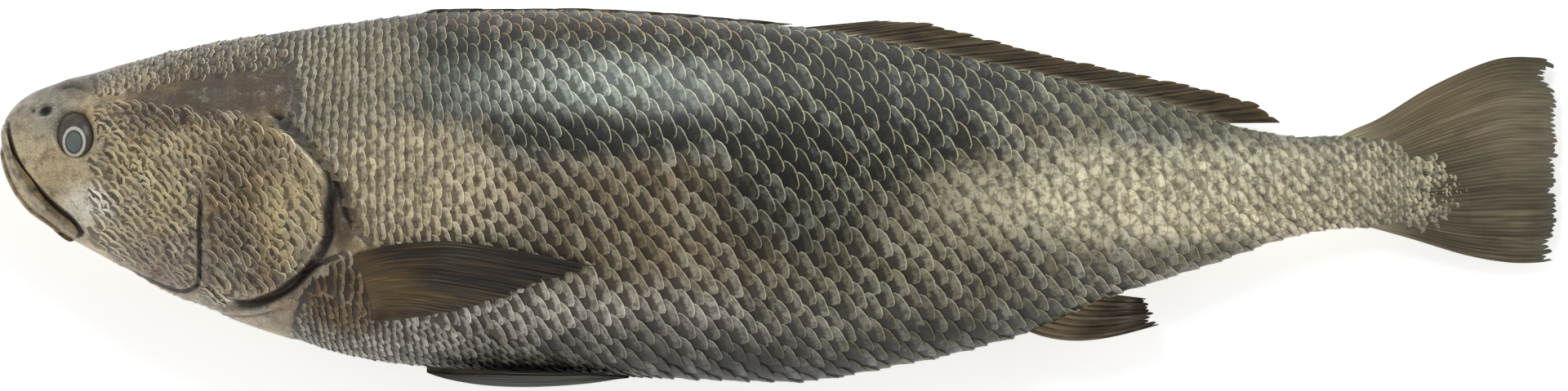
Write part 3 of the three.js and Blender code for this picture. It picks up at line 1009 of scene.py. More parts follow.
@dataclass(frozen=True)
class HeadSkinFinish:
    """The finish of the bare and finely scaled skin of the head."""

    cheek: str = "ab9878"
    nape: str = "4c3f32"
    tones: tuple[tuple[str, Pair, Pair, float], ...] = (
        ("8c8474", (22, 56), (26, 22), 0.6),
        ("c3b08c", (16, 20), (18, 24), 0.6),
        ("b8a680", (76, 8), (44, 26), 0.6),
        # Painted highlight: a pale patch on the cheek below the eye.
        ("ded8c6", (58, -7), (17, 12), 0.8),
        ("4c3f32", (156, 69), (56, 25), 0.35),
        ("55483a", (108, 60), (40, 16), 0.5),
        ("60564a", (82, 88), (60, 13), 0.5),
        ("5c5348", (44, 76), (36, 12), 0.5),
        ("c6b794", (92, -38), (34, 20), 0.6),
        ("83725a", (166, 4), (36, 56), 0.45),
        ("6b5a42", (152, 10), (16, 34), 0.6),
        ("5f513f", (158, -42), (34, 26), 0.5),
        ("b19c72", (188, -12), (18, 28), 0.6),
        ("7d6c4e", (160, 40), (30, 12), 0.6),
        ("4a4133", (150, 98), (110, 12), 0.6),
        ("4e4030", (222, -8), (12, 36), 0.5),
        ("a39886", (140, -72), (60, 12), 0.6),
        ("8b8072", (105, -42), (30, 20), 0.7),
        ("75695a", (205, -78), (30, 26), 0.6),
    )

    def tone(self, bench: Bench) -> tuple[bpy.types.NodeSocket, Value, Value]:
        """Lays the toned regions and the mottling over one another.

        Args:
            bench: The finish being built.
        Returns:
            The colour, the mottling and the fine grain.
        """
        wander = (bench.noise(22, 4, 0.6) - 0.5) * 1.1
        shade = colour(self.cheek)
        for code, centre, radii, edge in self.tones:
            shade = bench.blend(bench.patch(centre, radii, edge, wander), shade, colour(code))
        broad, mottle, fine = bench.noise(38, 4, 0.6), bench.noise(130, 5, 0.68), bench.noise(800, 3, 0.6)
        shade = bench.glaze(
            shade,
            (broad.ease(0.52, 0.66) * 0.3, "a3804a"),
            (broad.ease(0.48, 0.34) * 0.45, "8e887c"),
            (bench.patch((156, 70), (52, 23), 0.35, wander) * 0.7, self.nape),
            (bench.noise(55, 5, 0.7).ease(0.5, 0.66) * 0.45, "46372a"),
            (mottle.ease(0.45, 0.75) * 0.6, "4a3e30"),
            (mottle.ease(0.48, 0.25) * 0.35, "c2b8a2"),
            (fine.ease(0.5, 0.75) * 0.45, "332a1e"),
        )
        return shade, mottle, fine

    def build(self) -> bpy.types.Material:
        """Paints shade into the folds and slits over the tones.

        Returns:
            The material.
        """
        bench = Bench("head_skin")
        shade, mottle, fine = self.tone(bench)
        scribble = bench.cracks(420, bench.noise(140, 3) - 0.5, 0.012).ease(0.09, 0.0)
        shade = bench.blend(scribble * mottle.ease(0.35, 0.65) * 0.35, shade, colour("3a2f22"))
        # Painted shade: near black down in the folds, slits, mouth line and wrinkle valleys.
        fold = (bench.carried("Crease") + (fine - 0.5) * 0.2).ease(0.15, 0.85)
        shade = bench.blend(fold * 0.95, shade, colour("17100a"))
        relief = mottle * 0.8 + fine * 0.4 - scribble * 0.4
        return bench.finish(
            {
                "Base Color": shade,
                "Metallic": 0.05,
                "Roughness": mottle * 0.3 + 0.25,
                "Specular IOR Level": 0.4,
                "Coat Weight": 0.15,
                "Coat Roughness": 0.2,
                "Normal": bench.bump(relief, 0.0006),
            }
        )

    def build_scales(self) -> bpy.types.Material:
        """Gives the head's small scales their tones, with gold rims, painted shadow on each base beside the overlapping
        rims, painted shadow lines under the rims and painted shade in the folds.

        Returns:
            The material.
        """
        bench = Bench("head_scales")
        shade, mottle, fine = self.tone(bench)
        local_u, _, _ = bench.axes(bench.chart("ScaleLocal"))
        first, second, _ = bench.axes(bench.chart("ScaleRandom"))
        from_rim = local_u * RIM_SPAN + (bench.noise(600, 3) - 0.5) * 2.4
        shade = bench.glaze(
            shade,
            # Painted shadow on each scale's base, beside the rims that lie over it.
            (from_rim.ease(6.0, 8.0) * (first * 0.4 + 0.5), "241b12"),
            (from_rim.ease(1.8, 0.7) * (second * 0.55 + 0.1), "e8dcb8"),
            # Painted shadow: a thin dark line on the buried wall under each rim.
            (from_rim.ease(-0.1, -0.9), "1d160e"),
            # Painted shade in the folds and slits.
            (bench.carried("Crease").ease(0.2, 0.8) * 0.95, "17100a"),
        )
        glow = bench.add("ShaderNodeHueSaturation", {}, {"Value": first * 0.4 + 0.8, "Color": shade}).outputs[0]
        return bench.finish(
            {
                "Base Color": glow,
                "Metallic": 0.15,
                "Roughness": mottle * 0.25 + fine * 0.1 + 0.25,
                "Specular IOR Level": 0.45,
                "Coat Weight": 0.15,
                "Coat Roughness": 0.2,
                "Normal": bench.bump(mottle * 0.8 + fine * 0.5, 0.0003),
            }
        )


@dataclass(frozen=True)
class UnderSkin:
    """The dark skin between the scales."""

    shade: str = "2f2a21"
    patches: str = "4a453a"

    def build(self) -> bpy.types.Material:
        """Mottles two dark tones.

        Returns:
            The material.
        """
        bench = Bench("under_skin")
        clouds = bench.noise(160, 4)
        shade = bench.blend(clouds.ease(0.4, 0.65), colour(self.shade), colour(self.patches))
        normal = bench.bump(bench.noise(900), 0.0003)
        rough = clouds * 0.2 + 0.35
        return bench.finish({"Base Color": shade, "Roughness": rough, "Coat Weight": 0.2, "Normal": normal})


@dataclass(frozen=True)
class LipFinish:
    """Smooth, wet, pale brown skin with fine specks."""

    name: str
    shade: str
    dark: str
    speck: float = 0.4

    def build(self) -> bpy.types.Material:
        """Clouds the two tones and adds specks.

        Returns:
            The material.
        """
        bench = Bench(self.name)
        clouds, specks = bench.noise(180, 4), bench.noise(1100, 3, 0.65)
        shade = bench.blend(clouds.ease(0.4, 0.68), colour(self.shade), colour(self.dark))
        shade = bench.blend(specks.ease(0.5, 0.7) * self.speck, shade, colour("2a2016"))
        normal = bench.bump(clouds * 0.6 + specks * 0.3, 0.0004)
        return bench.finish(
            {
                "Base Color": shade,
                "Roughness": specks * 0.2 + 0.25,
                "Coat Weight": 0.4,
                "Coat Roughness": 0.15,
                "Normal": normal,
            }
        )


@dataclass(frozen=True)
class EyeFinish:
    """A wet eye: dark surround, an off-white ring set low in it, and a clouded grey pupil."""

    ring_at: Pair = (49.4, 34.3)
    ring_radii: Pair = (7.2, 9.4)

    def build(self) -> bpy.types.Material:
        """Draws the ring by the distance from its middle, seen along the fish's thickness.

        Returns:
            The material.
        """
        bench = Bench("eye")
        clouds, fine = bench.noise(190, 4), bench.noise(1400, 3)
        out = bench.oval(self.ring_at, self.ring_radii) + (fine - 0.5) * 0.12
        shade = bench.blend(clouds.ease(0.35, 0.65), colour("2d251e"), colour("4a3d2f"))
        shade = bench.glaze(
            shade,
            (out.ease(1.7, 1.3) * 0.35, "4c4a45"),
            (out.ease(1.1, 0.98), "b5b1a2"),
            (out.ease(0.86, 0.76), "33383a"),
            (out.ease(0.74, 0.6), "5d635e"),
            (fine.ease(0.45, 0.7) * 0.3, "2f3336"),
        )
        return bench.finish(
            {
                "Base Color": shade,
                "Roughness": clouds * 0.15 + 0.38,
                "Specular IOR Level": 0.3,
                "Coat Weight": 0.1,
                "Coat Roughness": 0.1,
                "Normal": bench.bump(fine, 0.00008),
            }
        )


@dataclass(frozen=True)
class FinFinish:
    """A fin's skin: rays of one tone, membrane of another, and a third along its free edge."""

    name: str
    rays: float
    ray: str
    membrane: str
    edge: str
    streak: str
    edge_from: float = 0.75
    streak_share: float = 0.35
    root: str = ""
    root_to: float = 0.22
    stains: tuple[tuple[str, Pair, Pair], ...] = ()

    def build(self) -> bpy.types.Material:
        """Colours the rays along the fin's own map, whose first measure runs out along them.

        Returns:
            The material.
        """
        bench = Bench(self.name)
        chart = bench.chart("Rays")
        along, across, _ = bench.axes(chart)
        stretched = bench.vector("MULTIPLY", chart, (1.6, self.rays * 0.9, 0.0))
        streaks = bench.noise(1.0, 4, 0.6, stretched)
        hairs = bench.noise(1.0, 2, 0.5, bench.vector("MULTIPLY", chart, (4.0, self.rays * 9.0, 0.0)))
        clouds, fine = bench.noise(60, 3), bench.noise(800, 3)
        bundles = bench.noise(1.0, 3, 0.6, bench.vector("MULTIPLY", chart, (1.1, self.rays * 0.3, 0.0)))
        wave = (across * (self.rays * 2 * np.pi) + (streaks - 0.5) * 6.0).sine() * 0.5 + 0.5
        on_ray = wave.ease(0.1, 0.9) * 0.5 + hairs.ease(0.4, 0.62) * 0.5
        shade = bench.blend(on_ray, colour(self.membrane), colour(self.ray))
        shade = bench.glaze(
            shade,
            (bundles.ease(0.5, 0.64) * 0.5, self.membrane),
            (bundles.ease(0.46, 0.34) * 0.4, self.streak),
            (streaks.ease(0.5, 0.72) * self.streak_share, self.streak),
            (clouds.ease(0.45, 0.7) * 0.3, self.membrane),
            (streaks.ease(0.48, 0.3) * 0.5, self.membrane),
            (hairs.ease(0.52, 0.66) * 0.45, "120e09"),
            ((along + (streaks - 0.5) * 0.3).ease(self.edge_from, 1.0) * 0.65, self.edge),
        )
        if self.root:
            near_root = (along + (streaks - 0.5) * 0.25).ease(self.root_to, 0.02)
            shade = bench.blend(near_root * 0.85, shade, colour(self.root))
        for code, centre, radii in self.stains:
            stain = bench.patch(centre, radii, 0.7, (streaks - 0.5) * 1.6)
            shade = bench.blend(stain * (hairs.ease(0.54, 0.42) * 0.45 + 0.05), shade, colour(code))
        relief = wave * 0.6 + streaks * 0.5 + fine * 0.2
        return bench.finish(
            {
                "Base Color": shade,
                "Roughness": streaks * 0.3 + 0.35,
                "Specular IOR Level": 0.3,
                "Coat Weight": 0.08,
                "Coat Roughness": 0.2,
                "Normal": bench.bump(relief, 0.0004),
            }
        )


# ---- Skin pieces ----


@dataclass
class HeadSkin:
    """The skin of the head, from the snout to under the first trunk scales, all round."""

    ends: float = 262.0
    rings: int = 226
    crowding: float = 1.25
    upper_columns: int = 236
    lower_columns: int = 136
    floor: float = 0.35

    def build(self, material: bpy.types.Material) -> bpy.types.Object:
        """Spreads points evenly round each section and moves them out by the relief.

        Args:
            material: The head's finish.
        Returns:
            The piece.
        """
        s = self.ends * np.linspace(0, 1, self.rings) ** self.crowding
        dense = np.linspace(0, 1, 700)
        flanks = []
        for side, columns in ((Side.LEFT, self.upper_columns), (Side.RIGHT, self.lower_columns)):
            angles = np.pi / 2 - np.pi * dense
            ring = FORM.skin(s[:, None], angles[None, :], side)
            arcs = np.concatenate(
                [np.zeros((len(s), 1)), np.cumsum(np.linalg.norm(np.diff(ring[..., 1:], axis=1), axis=-1), 1)], 1
            )
            even = np.linspace(0, 1, columns + 1)
            flat = np.stack([np.interp(even * arc[-1], arc, angles) for arc in arcs])
            points = FORM.skin(np.broadcast_to(s[:, None], flat.shape), flat, side)
            flanks.append(points[:, :-1] if side is Side.LEFT else points[:, :0:-1])
        rings = np.concatenate([flanks[0], flanks[1]], 1)
        wrapped = np.concatenate([rings[:, -1:], rings, rings[:, :1]], 1)
        normals = grid_normals(wrapped)[:, 1:-1]
        middle = np.stack([s, FORM.section(s, 0)[0], FORM.middle(s)], -1)[:, None]
        normals *= np.sign(((rings - middle) * normals).sum(-1, keepdims=True))
        height = RELIEF.height(rings[..., 0], rings[..., 1])
        rings = rings + normals * height[..., None]
        rings[..., 2] = np.maximum(rings[..., 2], self.floor)
        surface = tube(rings)
        # The painted shade of the folds and slits, carried at each vertex for the finish.
        crease = RELIEF.crease(rings[..., 0], rings[..., 1])
        surface.values["Crease"] = np.concatenate([crease[:1] * 0, crease, crease[-1:] * 0]).ravel()
        piece = make_piece("head_skin", surface, material)
        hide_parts("body")
        return piece


@dataclass
class TrunkSkin:
    """The dark skin under the scales, from the shoulder to the tail's root."""

    starts: float = 254.0
    inset: float = 1.2
    floor: float = 1.3

    def build(self, material: bpy.types.Material) -> bpy.types.Object:
        """Lofts the body's own sections, drawn in by the inset.

        Args:
            material: The skin's finish.
        Returns:
            The piece.
        """
        s = np.linspace(self.starts, FORM.length, 190)
        angles = np.linspace(np.pi / 2, -1.5 * np.pi, 141)[:-1]
        rings = FORM.skin(s[:, None], angles[None, :], Side.LEFT, -self.inset)
        rings[..., 2] = np.maximum(rings[..., 2], self.floor)
        piece = make_piece("trunk_skin", tube(rings), material)
        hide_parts("body")
        return piece


@dataclass
class ScaleCoat:
    """Overlapping scales laid on a slanting lattice over one flank.

    Every scale is a small arched tile whose rim is let into the skin, so none has a loose underside.
    """

    name: str
    skin: SkinMap | FinMap
    first: float
    last: float
    pitch_along: float
    pitch_across: float
    keep: Callable[[Array, Array, Array], Array]
    size: SmoothLine
    lean: SmoothLine
    lift: float = 1.1
    length_in_pitches: float = 2.1
    width_in_pitches: float = 0.55
    sagitta: float = 1.6
    corner: float = 1.8
    turn: SmoothLine = SmoothLine(((172, 0.0), (260, 0.08), (360, 0.4), (908, 0.36)))
    wobble: float = 0.35
    lattice: float = 8.2
    unevenness: float = 1.0
    sink: Callable[[Array, Array], Array] | None = None
    seed: int = 1
    drawn_at: float = 8.9
    buried_by: float = 0.7
    floor: float = 0.25
    creases_before: float = 440.0
    rows: tuple[float, ...] = (0.0, 0.6, 0.84, 0.97, 1.0, 1.012)
    columns: tuple[float, ...] = (-1.06, -1.0, -0.8, -0.42, 0.0, 0.42, 0.8, 1.0, 1.06)

    def lay(self, p: Array, q: Array) -> tuple[Array, Array]:
        """Turns lattice measures into places on the skin.

        Args:
            p: Distance along the lattice's columns, before the scales' size changes.
            q: Distance across, from the side line.
        Returns:
            Stations and reaches: both shrink with the size there, and the columns lean with the reach.
        """
        stations = np.linspace(self.first - 40, self.last + 40, 500)
        spread = np.concatenate([[0], np.cumsum(np.diff(stations) / self.size(stations)[:-1])])
        s = np.interp(p, spread, stations)
        reach = q * self.size(s)
        wave = 1.2 * np.sin(reach / 23 + s / 37) + 0.8 * np.sin(s / 19 - reach / 31)
        return s - self.lean(s) * reach + wave, reach + 0.8 * np.sin(s / 27 + reach / 41)

    def build(self, material: bpy.types.Material) -> bpy.types.Object:
        """Lays the lattice, keeps the places on this flank, and shapes one tile for each.

        Args:
            material: The coat's finish.
        Returns:
            The piece.
        """
        rng = np.random.default_rng(self.seed)
        span = (self.last - self.first + 80) / self.size(np.array([self.first]))[0] * 1.6
        count_p, count_q = int(span / self.pitch_along), int(260 / self.pitch_across)
        i, j = np.meshgrid(np.arange(count_p), np.arange(-count_q, count_q + 1), indexing="ij")
        p = (i * self.pitch_along).ravel()
        q = ((j + 0.5 * (i % 2)) * self.pitch_across).ravel()
        uneven = self.unevenness
        p = p + rng.normal(0, 0.35 * uneven, p.shape)
        q = q + rng.normal(0, 0.5 * uneven, q.shape)
        s, reach = self.lay(p, q)
        bottom, top = self.skin.ridge(s)
        places, _ = self.skin.at(s, reach)
        good = (reach > bottom) & (reach < top) & (s > self.first) & (s < self.last)
        good &= self.keep(places[..., 0], places[..., 1], reach)
        p, q = p[good], q[good]
        count = len(p)
        turn = self.turn(s[good]) + rng.normal(0, 0.05 * uneven, count)
        grown = 1 + rng.normal(0, 0.05 * uneven, count)
        raised = 1 + rng.normal(0, 0.18 * uneven, count)
        if self.sink:
            raised = raised * self.sink(places[good, 0], places[good, 1])
        rows, columns = np.array(self.rows), np.array(self.columns)
        u, v = np.meshgrid(rows, columns, indexing="ij")
        length, half_width = self.length_in_pitches * self.pitch_along, self.width_in_pitches * self.pitch_across
        across = np.clip(v, -1, 1)
        unit = self.pitch_along / self.drawn_at
        free_edge = length / 2 - unit * (self.sagitta * np.abs(across) ** 2 + self.corner * np.abs(across) ** 7)
        a = -length / 2 + (free_edge + length / 2) * u
        b = v * half_width * (1 - 0.1 * (1 - u) ** 2)
        height = self.lift * np.clip(u, 0, 1) ** 1.3 * (1 - 0.45 * np.abs(across) ** 2)
        height = height + 0.25 * self.lift * ease(0.8, 0.97, u) * (1 - np.abs(across) ** 3)
        buried = (u > 1.0) | (u <= 0.0) | (np.abs(v) > 1.0)
        height = np.where(buried, -self.buried_by, height)
        a, b, height = a.ravel(), b.ravel(), height.ravel()
        cos, sin = np.cos(turn)[:, None], np.sin(turn)[:, None]
        phase = rng.uniform(0, 2 * np.pi, (count, 1))
        wavy = self.wobble * (u.ravel() ** 3 * (1 - 0.5 * across.ravel() ** 2)) * np.sin(4.2 * v.ravel() + phase)
        local_p = p[:, None] + grown[:, None] * (a * cos - b * sin) + wavy
        local_q = q[:, None] + grown[:, None] * (a * sin + b * cos)
        tile_s, tile_reach = self.lay(local_p, local_q)
        points, normals = self.skin.at(tile_s, tile_reach)
        size = self.size(tile_s) ** 0.7
        points = points + normals * (height * raised[:, None] * size)[..., None]
        points[..., 2] = np.maximum(points[..., 2], self.floor)
        faces, cells = grid_quads(len(rows), len(columns))
        per_tile = len(rows) * len(columns)
        all_faces = (faces[None] + per_tile * np.arange(count)[:, None, None]).reshape(-1, 4)
        # The buried wall under the rim reads negative, where the finishes paint a shadow line.
        from_rim = ((free_edge + length / 2) * (1 - np.clip(u, 0, 1)) - 2.0 * (u > 1.0)).ravel()
        local_map = np.stack([from_rim / RIM_SPAN, (across.ravel() + 1) / 2], -1)[faces]
        side_cells = int(np.ceil(np.sqrt(count)))
        cell = np.stack([np.arange(count) % side_cells, np.arange(count) // side_cells], -1) / side_cells
        atlas = (cells / [len(rows) - 1, len(columns) - 1]) * 0.86 + 0.07
        local = np.tile(local_map, (count, 1, 1))
        local[..., 0] *= self.lattice / np.repeat(self.size(s[good]) * self.pitch_along, len(faces))[:, None]
        random_map = np.repeat(rng.random((count, 2)), len(faces), 0)[:, None].repeat(4, 1)
        flat = points.reshape(-1, 3)
        # The painted shade of the head's folds, for the coats near the head.
        near_head = self.last < self.creases_before
        crease = RELIEF.crease(flat[:, 0], flat[:, 1]) if near_head else np.zeros(len(flat))
        surface = Surface(
            flat,
            all_faces,
            {
                "OFBake": (cell[:, None, None] + atlas[None] / side_cells).reshape(-1, 4, 2),
                "ScaleLocal": local,
                "ScaleRandom": random_map,
            },
            {"Crease": crease},
        )
        quads = surface.points[surface.faces[: len(faces)]]
        facing = np.cross(quads[:, 1] - quads[:, 0], quads[:, 3] - quads[:, 0]).sum(0)
        if facing @ normals.reshape(-1, 3)[:per_tile].mean(0) < 0:
            surface.flip()
        piece = make_piece(self.name, surface, material)
        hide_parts("body")
        LOG.info("%s: %d scales, %d triangles", self.name, count, 2 * len(all_faces))
        return piece


# ---- Eyes and jaws ----


@dataclass
class Eye:
    """An eyeball bulging a little out of its orbit."""

    side: Side
    sunk: float = 5.5
    bulge: float = 9.0

    def build(self, material: bpy.types.Material) -> bpy.types.Object:
        """Turns an ellipsoid square to the skin: polar angle down from the gaze, then round it.

        Args:
            material: The eye's finish.
        Returns:
            The piece.
        """
        s, y = RELIEF.eye_at

        def at(ds: float, dy: float) -> Array:
            """A point of the smooth flank, shifted from the eye's middle."""
            return np.array([s + ds, y + dy, float(FORM.flank_level(s + ds, y + dy, self.side))])

        outward = np.cross(at(1, 0) - at(-1, 0), at(0, 1) - at(0, -1)) * self.side.value
        outward /= np.linalg.norm(outward)
        polar, round_it = np.linspace(0.02, np.pi - 0.02, 60), np.linspace(0, 2 * np.pi, 97)[:-1]
        polar, round_it = np.meshgrid(polar, round_it, indexing="ij")
        ring = np.stack([np.sin(polar) * np.cos(round_it), np.sin(polar) * np.sin(round_it), np.cos(polar)], -1)
        ball = ring * [*RELIEF.eye_radii, self.bulge]
        cos, sin = np.cos(RELIEF.eye_tilt), np.sin(RELIEF.eye_tilt)
        turned = ball @ np.array([[cos, sin, 0], [-sin, cos, 0], [0, 0, 1]])
        matrix = np.array(Vector((0, 0, 1)).rotation_difference(Vector(outward)).to_matrix())
        points = turned @ matrix.T + at(0, 0) - outward * self.sunk
        piece = make_piece(f"eye_{self.side.word}", tube(points), material)
        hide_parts(f"eye_{self.side.word}")
        return piece


@dataclass
class JawBand:
    """A band that runs from one mouth corner round the front of the jaw to the other."""

    name: str
    path: Spline
    width: SmoothLine
    thickness: float
    proud: float

    def build(self, material: bpy.types.Material) -> bpy.types.Object:
        """Carries a flattened oval along the path on one flank and back along the other.

        Args:
            material: The band's finish.
        Returns:
            The piece.
        """
        share = np.linspace(0, 1, 90)
        line = self.path(share)
        halves = []
        for side in (Side.LEFT, Side.RIGHT):
            z = FORM.flank_level(line[:, 0], line[:, 1], side)
            halves.append(np.column_stack([line, z]))
        middle = FORM.middle(line[:, 0])
        nose = ease(0, 0.14, share)
        for half in halves:
            half[:, 2] = middle + (half[:, 2] - middle) * nose
        route = np.concatenate([halves[0][::-1], halves[1][1:]])
        widths = np.concatenate([self.width(share)[::-1], self.width(share)[1:]])
        for _ in range(3):
            route[1:-1] = (route[:-2] + 2 * route[1:-1] + route[2:]) / 4
        tangent = np.gradient(route, axis=0)
        tangent /= np.linalg.norm(tangent, axis=-1, keepdims=True)
        inside = np.stack([route[:, 0] + 12, route[:, 1] + 9, FORM.middle(route[:, 0])], -1)
        outward = route - inside
        outward -= (outward * tangent).sum(-1, keepdims=True) * tangent
        outward /= np.linalg.norm(outward, axis=-1, keepdims=True)
        across = np.cross(tangent, outward)
        angle = np.linspace(0, 2 * np.pi, 21)[:-1]
        rings = (
            (route + outward * self.proud)[:, None]
            + across[:, None] * (np.cos(angle)[None, :, None] * widths[:, None, None])
            + outward[:, None] * (np.sin(angle)[None, :, None] * self.thickness)
        )
        rings[..., 2] = np.maximum(rings[..., 2], 0.3)
        piece = make_piece(self.name, tube(rings), material)
        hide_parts("body")
        return piece


@dataclass
class Maxilla:
    """The blade of the upper jaw that widens towards the corner of the mouth."""

    side: Side
    path: Spline = Spline(
        ((8, 26), (12.5, 17.5), (17.8, 9.2), (25.6, -4.4), (34.5, -14.6), (43, -22), (48, -27))
    )
    width: SmoothLine = SmoothLine(((0, 1.0), (0.25, 2.6), (0.5, 4.6), (0.8, 6.2), (0.95, 4.8), (1, 2.2)))

    def build(self, material: bpy.types.Material) -> bpy.types.Object:
        """Lays a domed blade on the skin, 2 mm times (1 - across²)^0.6 above the flank.

        Args:
            material: The blade's finish.
        Returns:
            The piece.
        """
        along, across = np.linspace(0, 1, 70), np.linspace(-1, 1, 17)
        line = self.path(along)
        tangent = np.gradient(line, axis=0)
        tangent /= np.linalg.norm(tangent, axis=-1, keepdims=True)
        normal = np.stack([-tangent[:, 1], tangent[:, 0]], -1)
        flat = line[:, None] + normal[:, None] * (across[None, :, None] * self.width(along)[:, None, None])
        level = FORM.flank_level(flat[..., 0], flat[..., 1], self.side)
        dome = 2.0 * (1 - across[None, :] ** 2) ** 0.6 + 0.2
        upper = np.concatenate([flat, (level + self.side.value * (dome - 0.7))[..., None]], -1)
        lower = np.concatenate([flat, (level - self.side.value * 3.0)[..., None]], -1)
        piece = make_piece(f"maxilla_{self.side.word}", plate(upper, lower), material)
        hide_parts("body")
        return piece


# ---- Fins ----


def ray_profile(across: Array, rays: float) -> Array:
    """Height of the ray ridges across a fin, 0 to 1: |cos| of half a turn for each ray."""
    return np.abs(np.cos(np.pi * rays * across)) ** 0.7


def ragged(across: Array, rays: float, seed: int, depth: float) -> Array:
    """How much of each ray is left.

    Args:
        across: Share of the way across the fin.
        rays: How many rays it has.
        seed: Start of the random draws.
        depth: The most that a ray can lose.
    Returns:
        1 less a share that differs from ray to ray, and less again between rays.
    """
    rng = np.random.default_rng(seed)
    torn = rng.random(int(rays) + 3)
    which = np.clip(np.round(across * rays).astype(int), 0, len(torn) - 1)
    notch = 1 - np.abs(np.cos(np.pi * rays * across)) ** 0.5
    return 1 - depth * torn[which] - 0.5 * depth * notch


def frayed(along: Array, left: Array, power: float = 1.0) -> Array:
    """Shortens each ray towards its tip: along · (1 - (1 - left) · along^power)."""
    return along * (1 - (1 - left) * along**power)


@dataclass
class MedianFin:
    """A fin in the fish's middle plane, its rays running from a root line to a tip line."""

    name: str
    nodes: tuple[str, ...]
    slot: str
    root: Callable[[Array], Array]
    tip: Callable[[Array], Array]
    rays: float
    thickness: SmoothLine
    sag: float = 0.0
    front_bow: float = 0.0
    torn: float = 0.05
    ridge: float = 0.5
    steps_along: int = 60
    steps_across: int = 300
    seed: int = 3
    floor: float = 0.3

    def build(self, material: bpy.types.Material) -> bpy.types.Object:
        """Blends from root to tip along each ray, and thickens the plate where a ray runs.

        Args:
            material: The fin's finish.
        Returns:
            The piece.
        """
        along = np.linspace(0, 1, self.steps_along)[:, None]
        across = np.linspace(0, 1, self.steps_across)[None, :]
        left = ragged(across, self.rays, self.seed, self.torn)
        reach = frayed(along, left)
        root, tip = self.root(across[0]), self.tip(across[0])
        flat = root[None] + (tip - root)[None] * reach[..., None]
        flat[..., 1] -= self.front_bow * np.sin(np.pi * reach**0.8) * (1 - across) ** 1.5
        half = 0.5 * self.thickness(along) * (1 - self.ridge * (1 - ray_profile(across, self.rays)))
        level = FORM.middle(flat[..., 0]) - self.sag * along**2
        level = level + 0.6 * along * np.sin(across * 17)
        upper = np.concatenate([flat, np.maximum(level + half, self.floor + 0.5)[..., None]], -1)
        lower = np.concatenate([flat, np.maximum(level - half, self.floor)[..., None]], -1)
        piece = make_piece(self.name, plate(upper, lower), material)
        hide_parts(*self.nodes)
        return piece


def over(stations: Pair, line: Callable[[Array], Array], shift: float = 0.0) -> Callable[[Array], Array]:
    """A line over a run of stations, as a function of the share across a fin.

    Args:
        stations: Where the run starts and ends.
        line: Height at each station.
        shift: Added to the heights.
    Returns:
        The function, which gives rows of station and height.
    """

    def read(across: Array) -> Array:
        """Stations in even steps, with the line's heights there."""
        s = stations[0] + (stations[1] - stations[0]) * across
        return np.stack([s, line(s) + shift], -1)

    return read


@dataclass
class PairedFin:
    """A pectoral fin: a fan of rays from a short root to a long slanting edge."""

    side: Side
    rays: float = 26
    upper_edge: Spline = Spline(((222, -40), (250, -31.5), (290, -28.7), (330, -34.0), (384, -44.3)))
    lower_edge: Spline = Spline(((232, -81), (265, -77.5), (302, -72), (342, -60.5), (384, -47.2)))
    lift: float = 3.0
    drop: float = 14.0
    swing: float = 0.25
    lands_at: float = 0.35

    def build(self, material: bpy.types.Material) -> bpy.types.Object:
        """Fans the rays so that each ends further along the lower edge than the one below it.

        Args:
            material: The fin's finish.
        Returns:
            The piece.
        """
        along, across = np.linspace(0, 1, 80)[:, None], np.linspace(0, 1, 250)[None, :]
        left = ragged(across, self.rays, 11, 0.09)
        reach = frayed(along, left)
        root = np.stack([238 - 14 * across[0], -79 + 40 * across[0]], -1)
        tip = self.lower_edge(0.16 + 0.84 * across[0] ** 0.8)
        chord = root[None] + (tip - root)[None] * reach[..., None]
        top = self.upper_edge(along[:, 0])[:, None]
        top_chord = root[None, -1:] + (tip[-1:] - root[-1:])[None] * along[..., None]
        flat = chord + (top - top_chord) * across[..., None] ** 1.5
        thick = 4.0 - 2.5 * np.sqrt(along) + 0 * across
        ridge = 0.55 * ray_profile(across, self.rays) * ease(0.05, 0.3, along)
        if self.side is Side.LEFT:
            level = FORM.flank_level(flat[..., 0], flat[..., 1], self.side) + 0.7 + self.lift * np.sin(np.pi * along)
            level = level - 6.0 * ease(0.16, 0.0, along)
            upper_level, lower_level = level + thick * 0.6 + ridge, level
        else:
            flat[..., 1] -= self.drop + self.swing * (flat[..., 0] - 222)
            flank = FORM.flank_level(flat[..., 0], flat[..., 1], self.side)
            at_root = np.maximum(flank - 0.5 - thick / 2, 0.3)
            lying = at_root + (0.3 - at_root) * ease(0, self.lands_at, along)
            upper_level, lower_level = lying + thick / 2 + ridge, lying
        upper = np.concatenate([flat, upper_level[..., None]], -1)
        lower = np.concatenate([flat, np.broadcast_to(lower_level, upper_level.shape)[..., None]], -1)
        name = f"pectoral_fin_{self.side.word}"
        piece = make_piece(name, plate(upper, lower), material)
        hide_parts(name)
        return piece


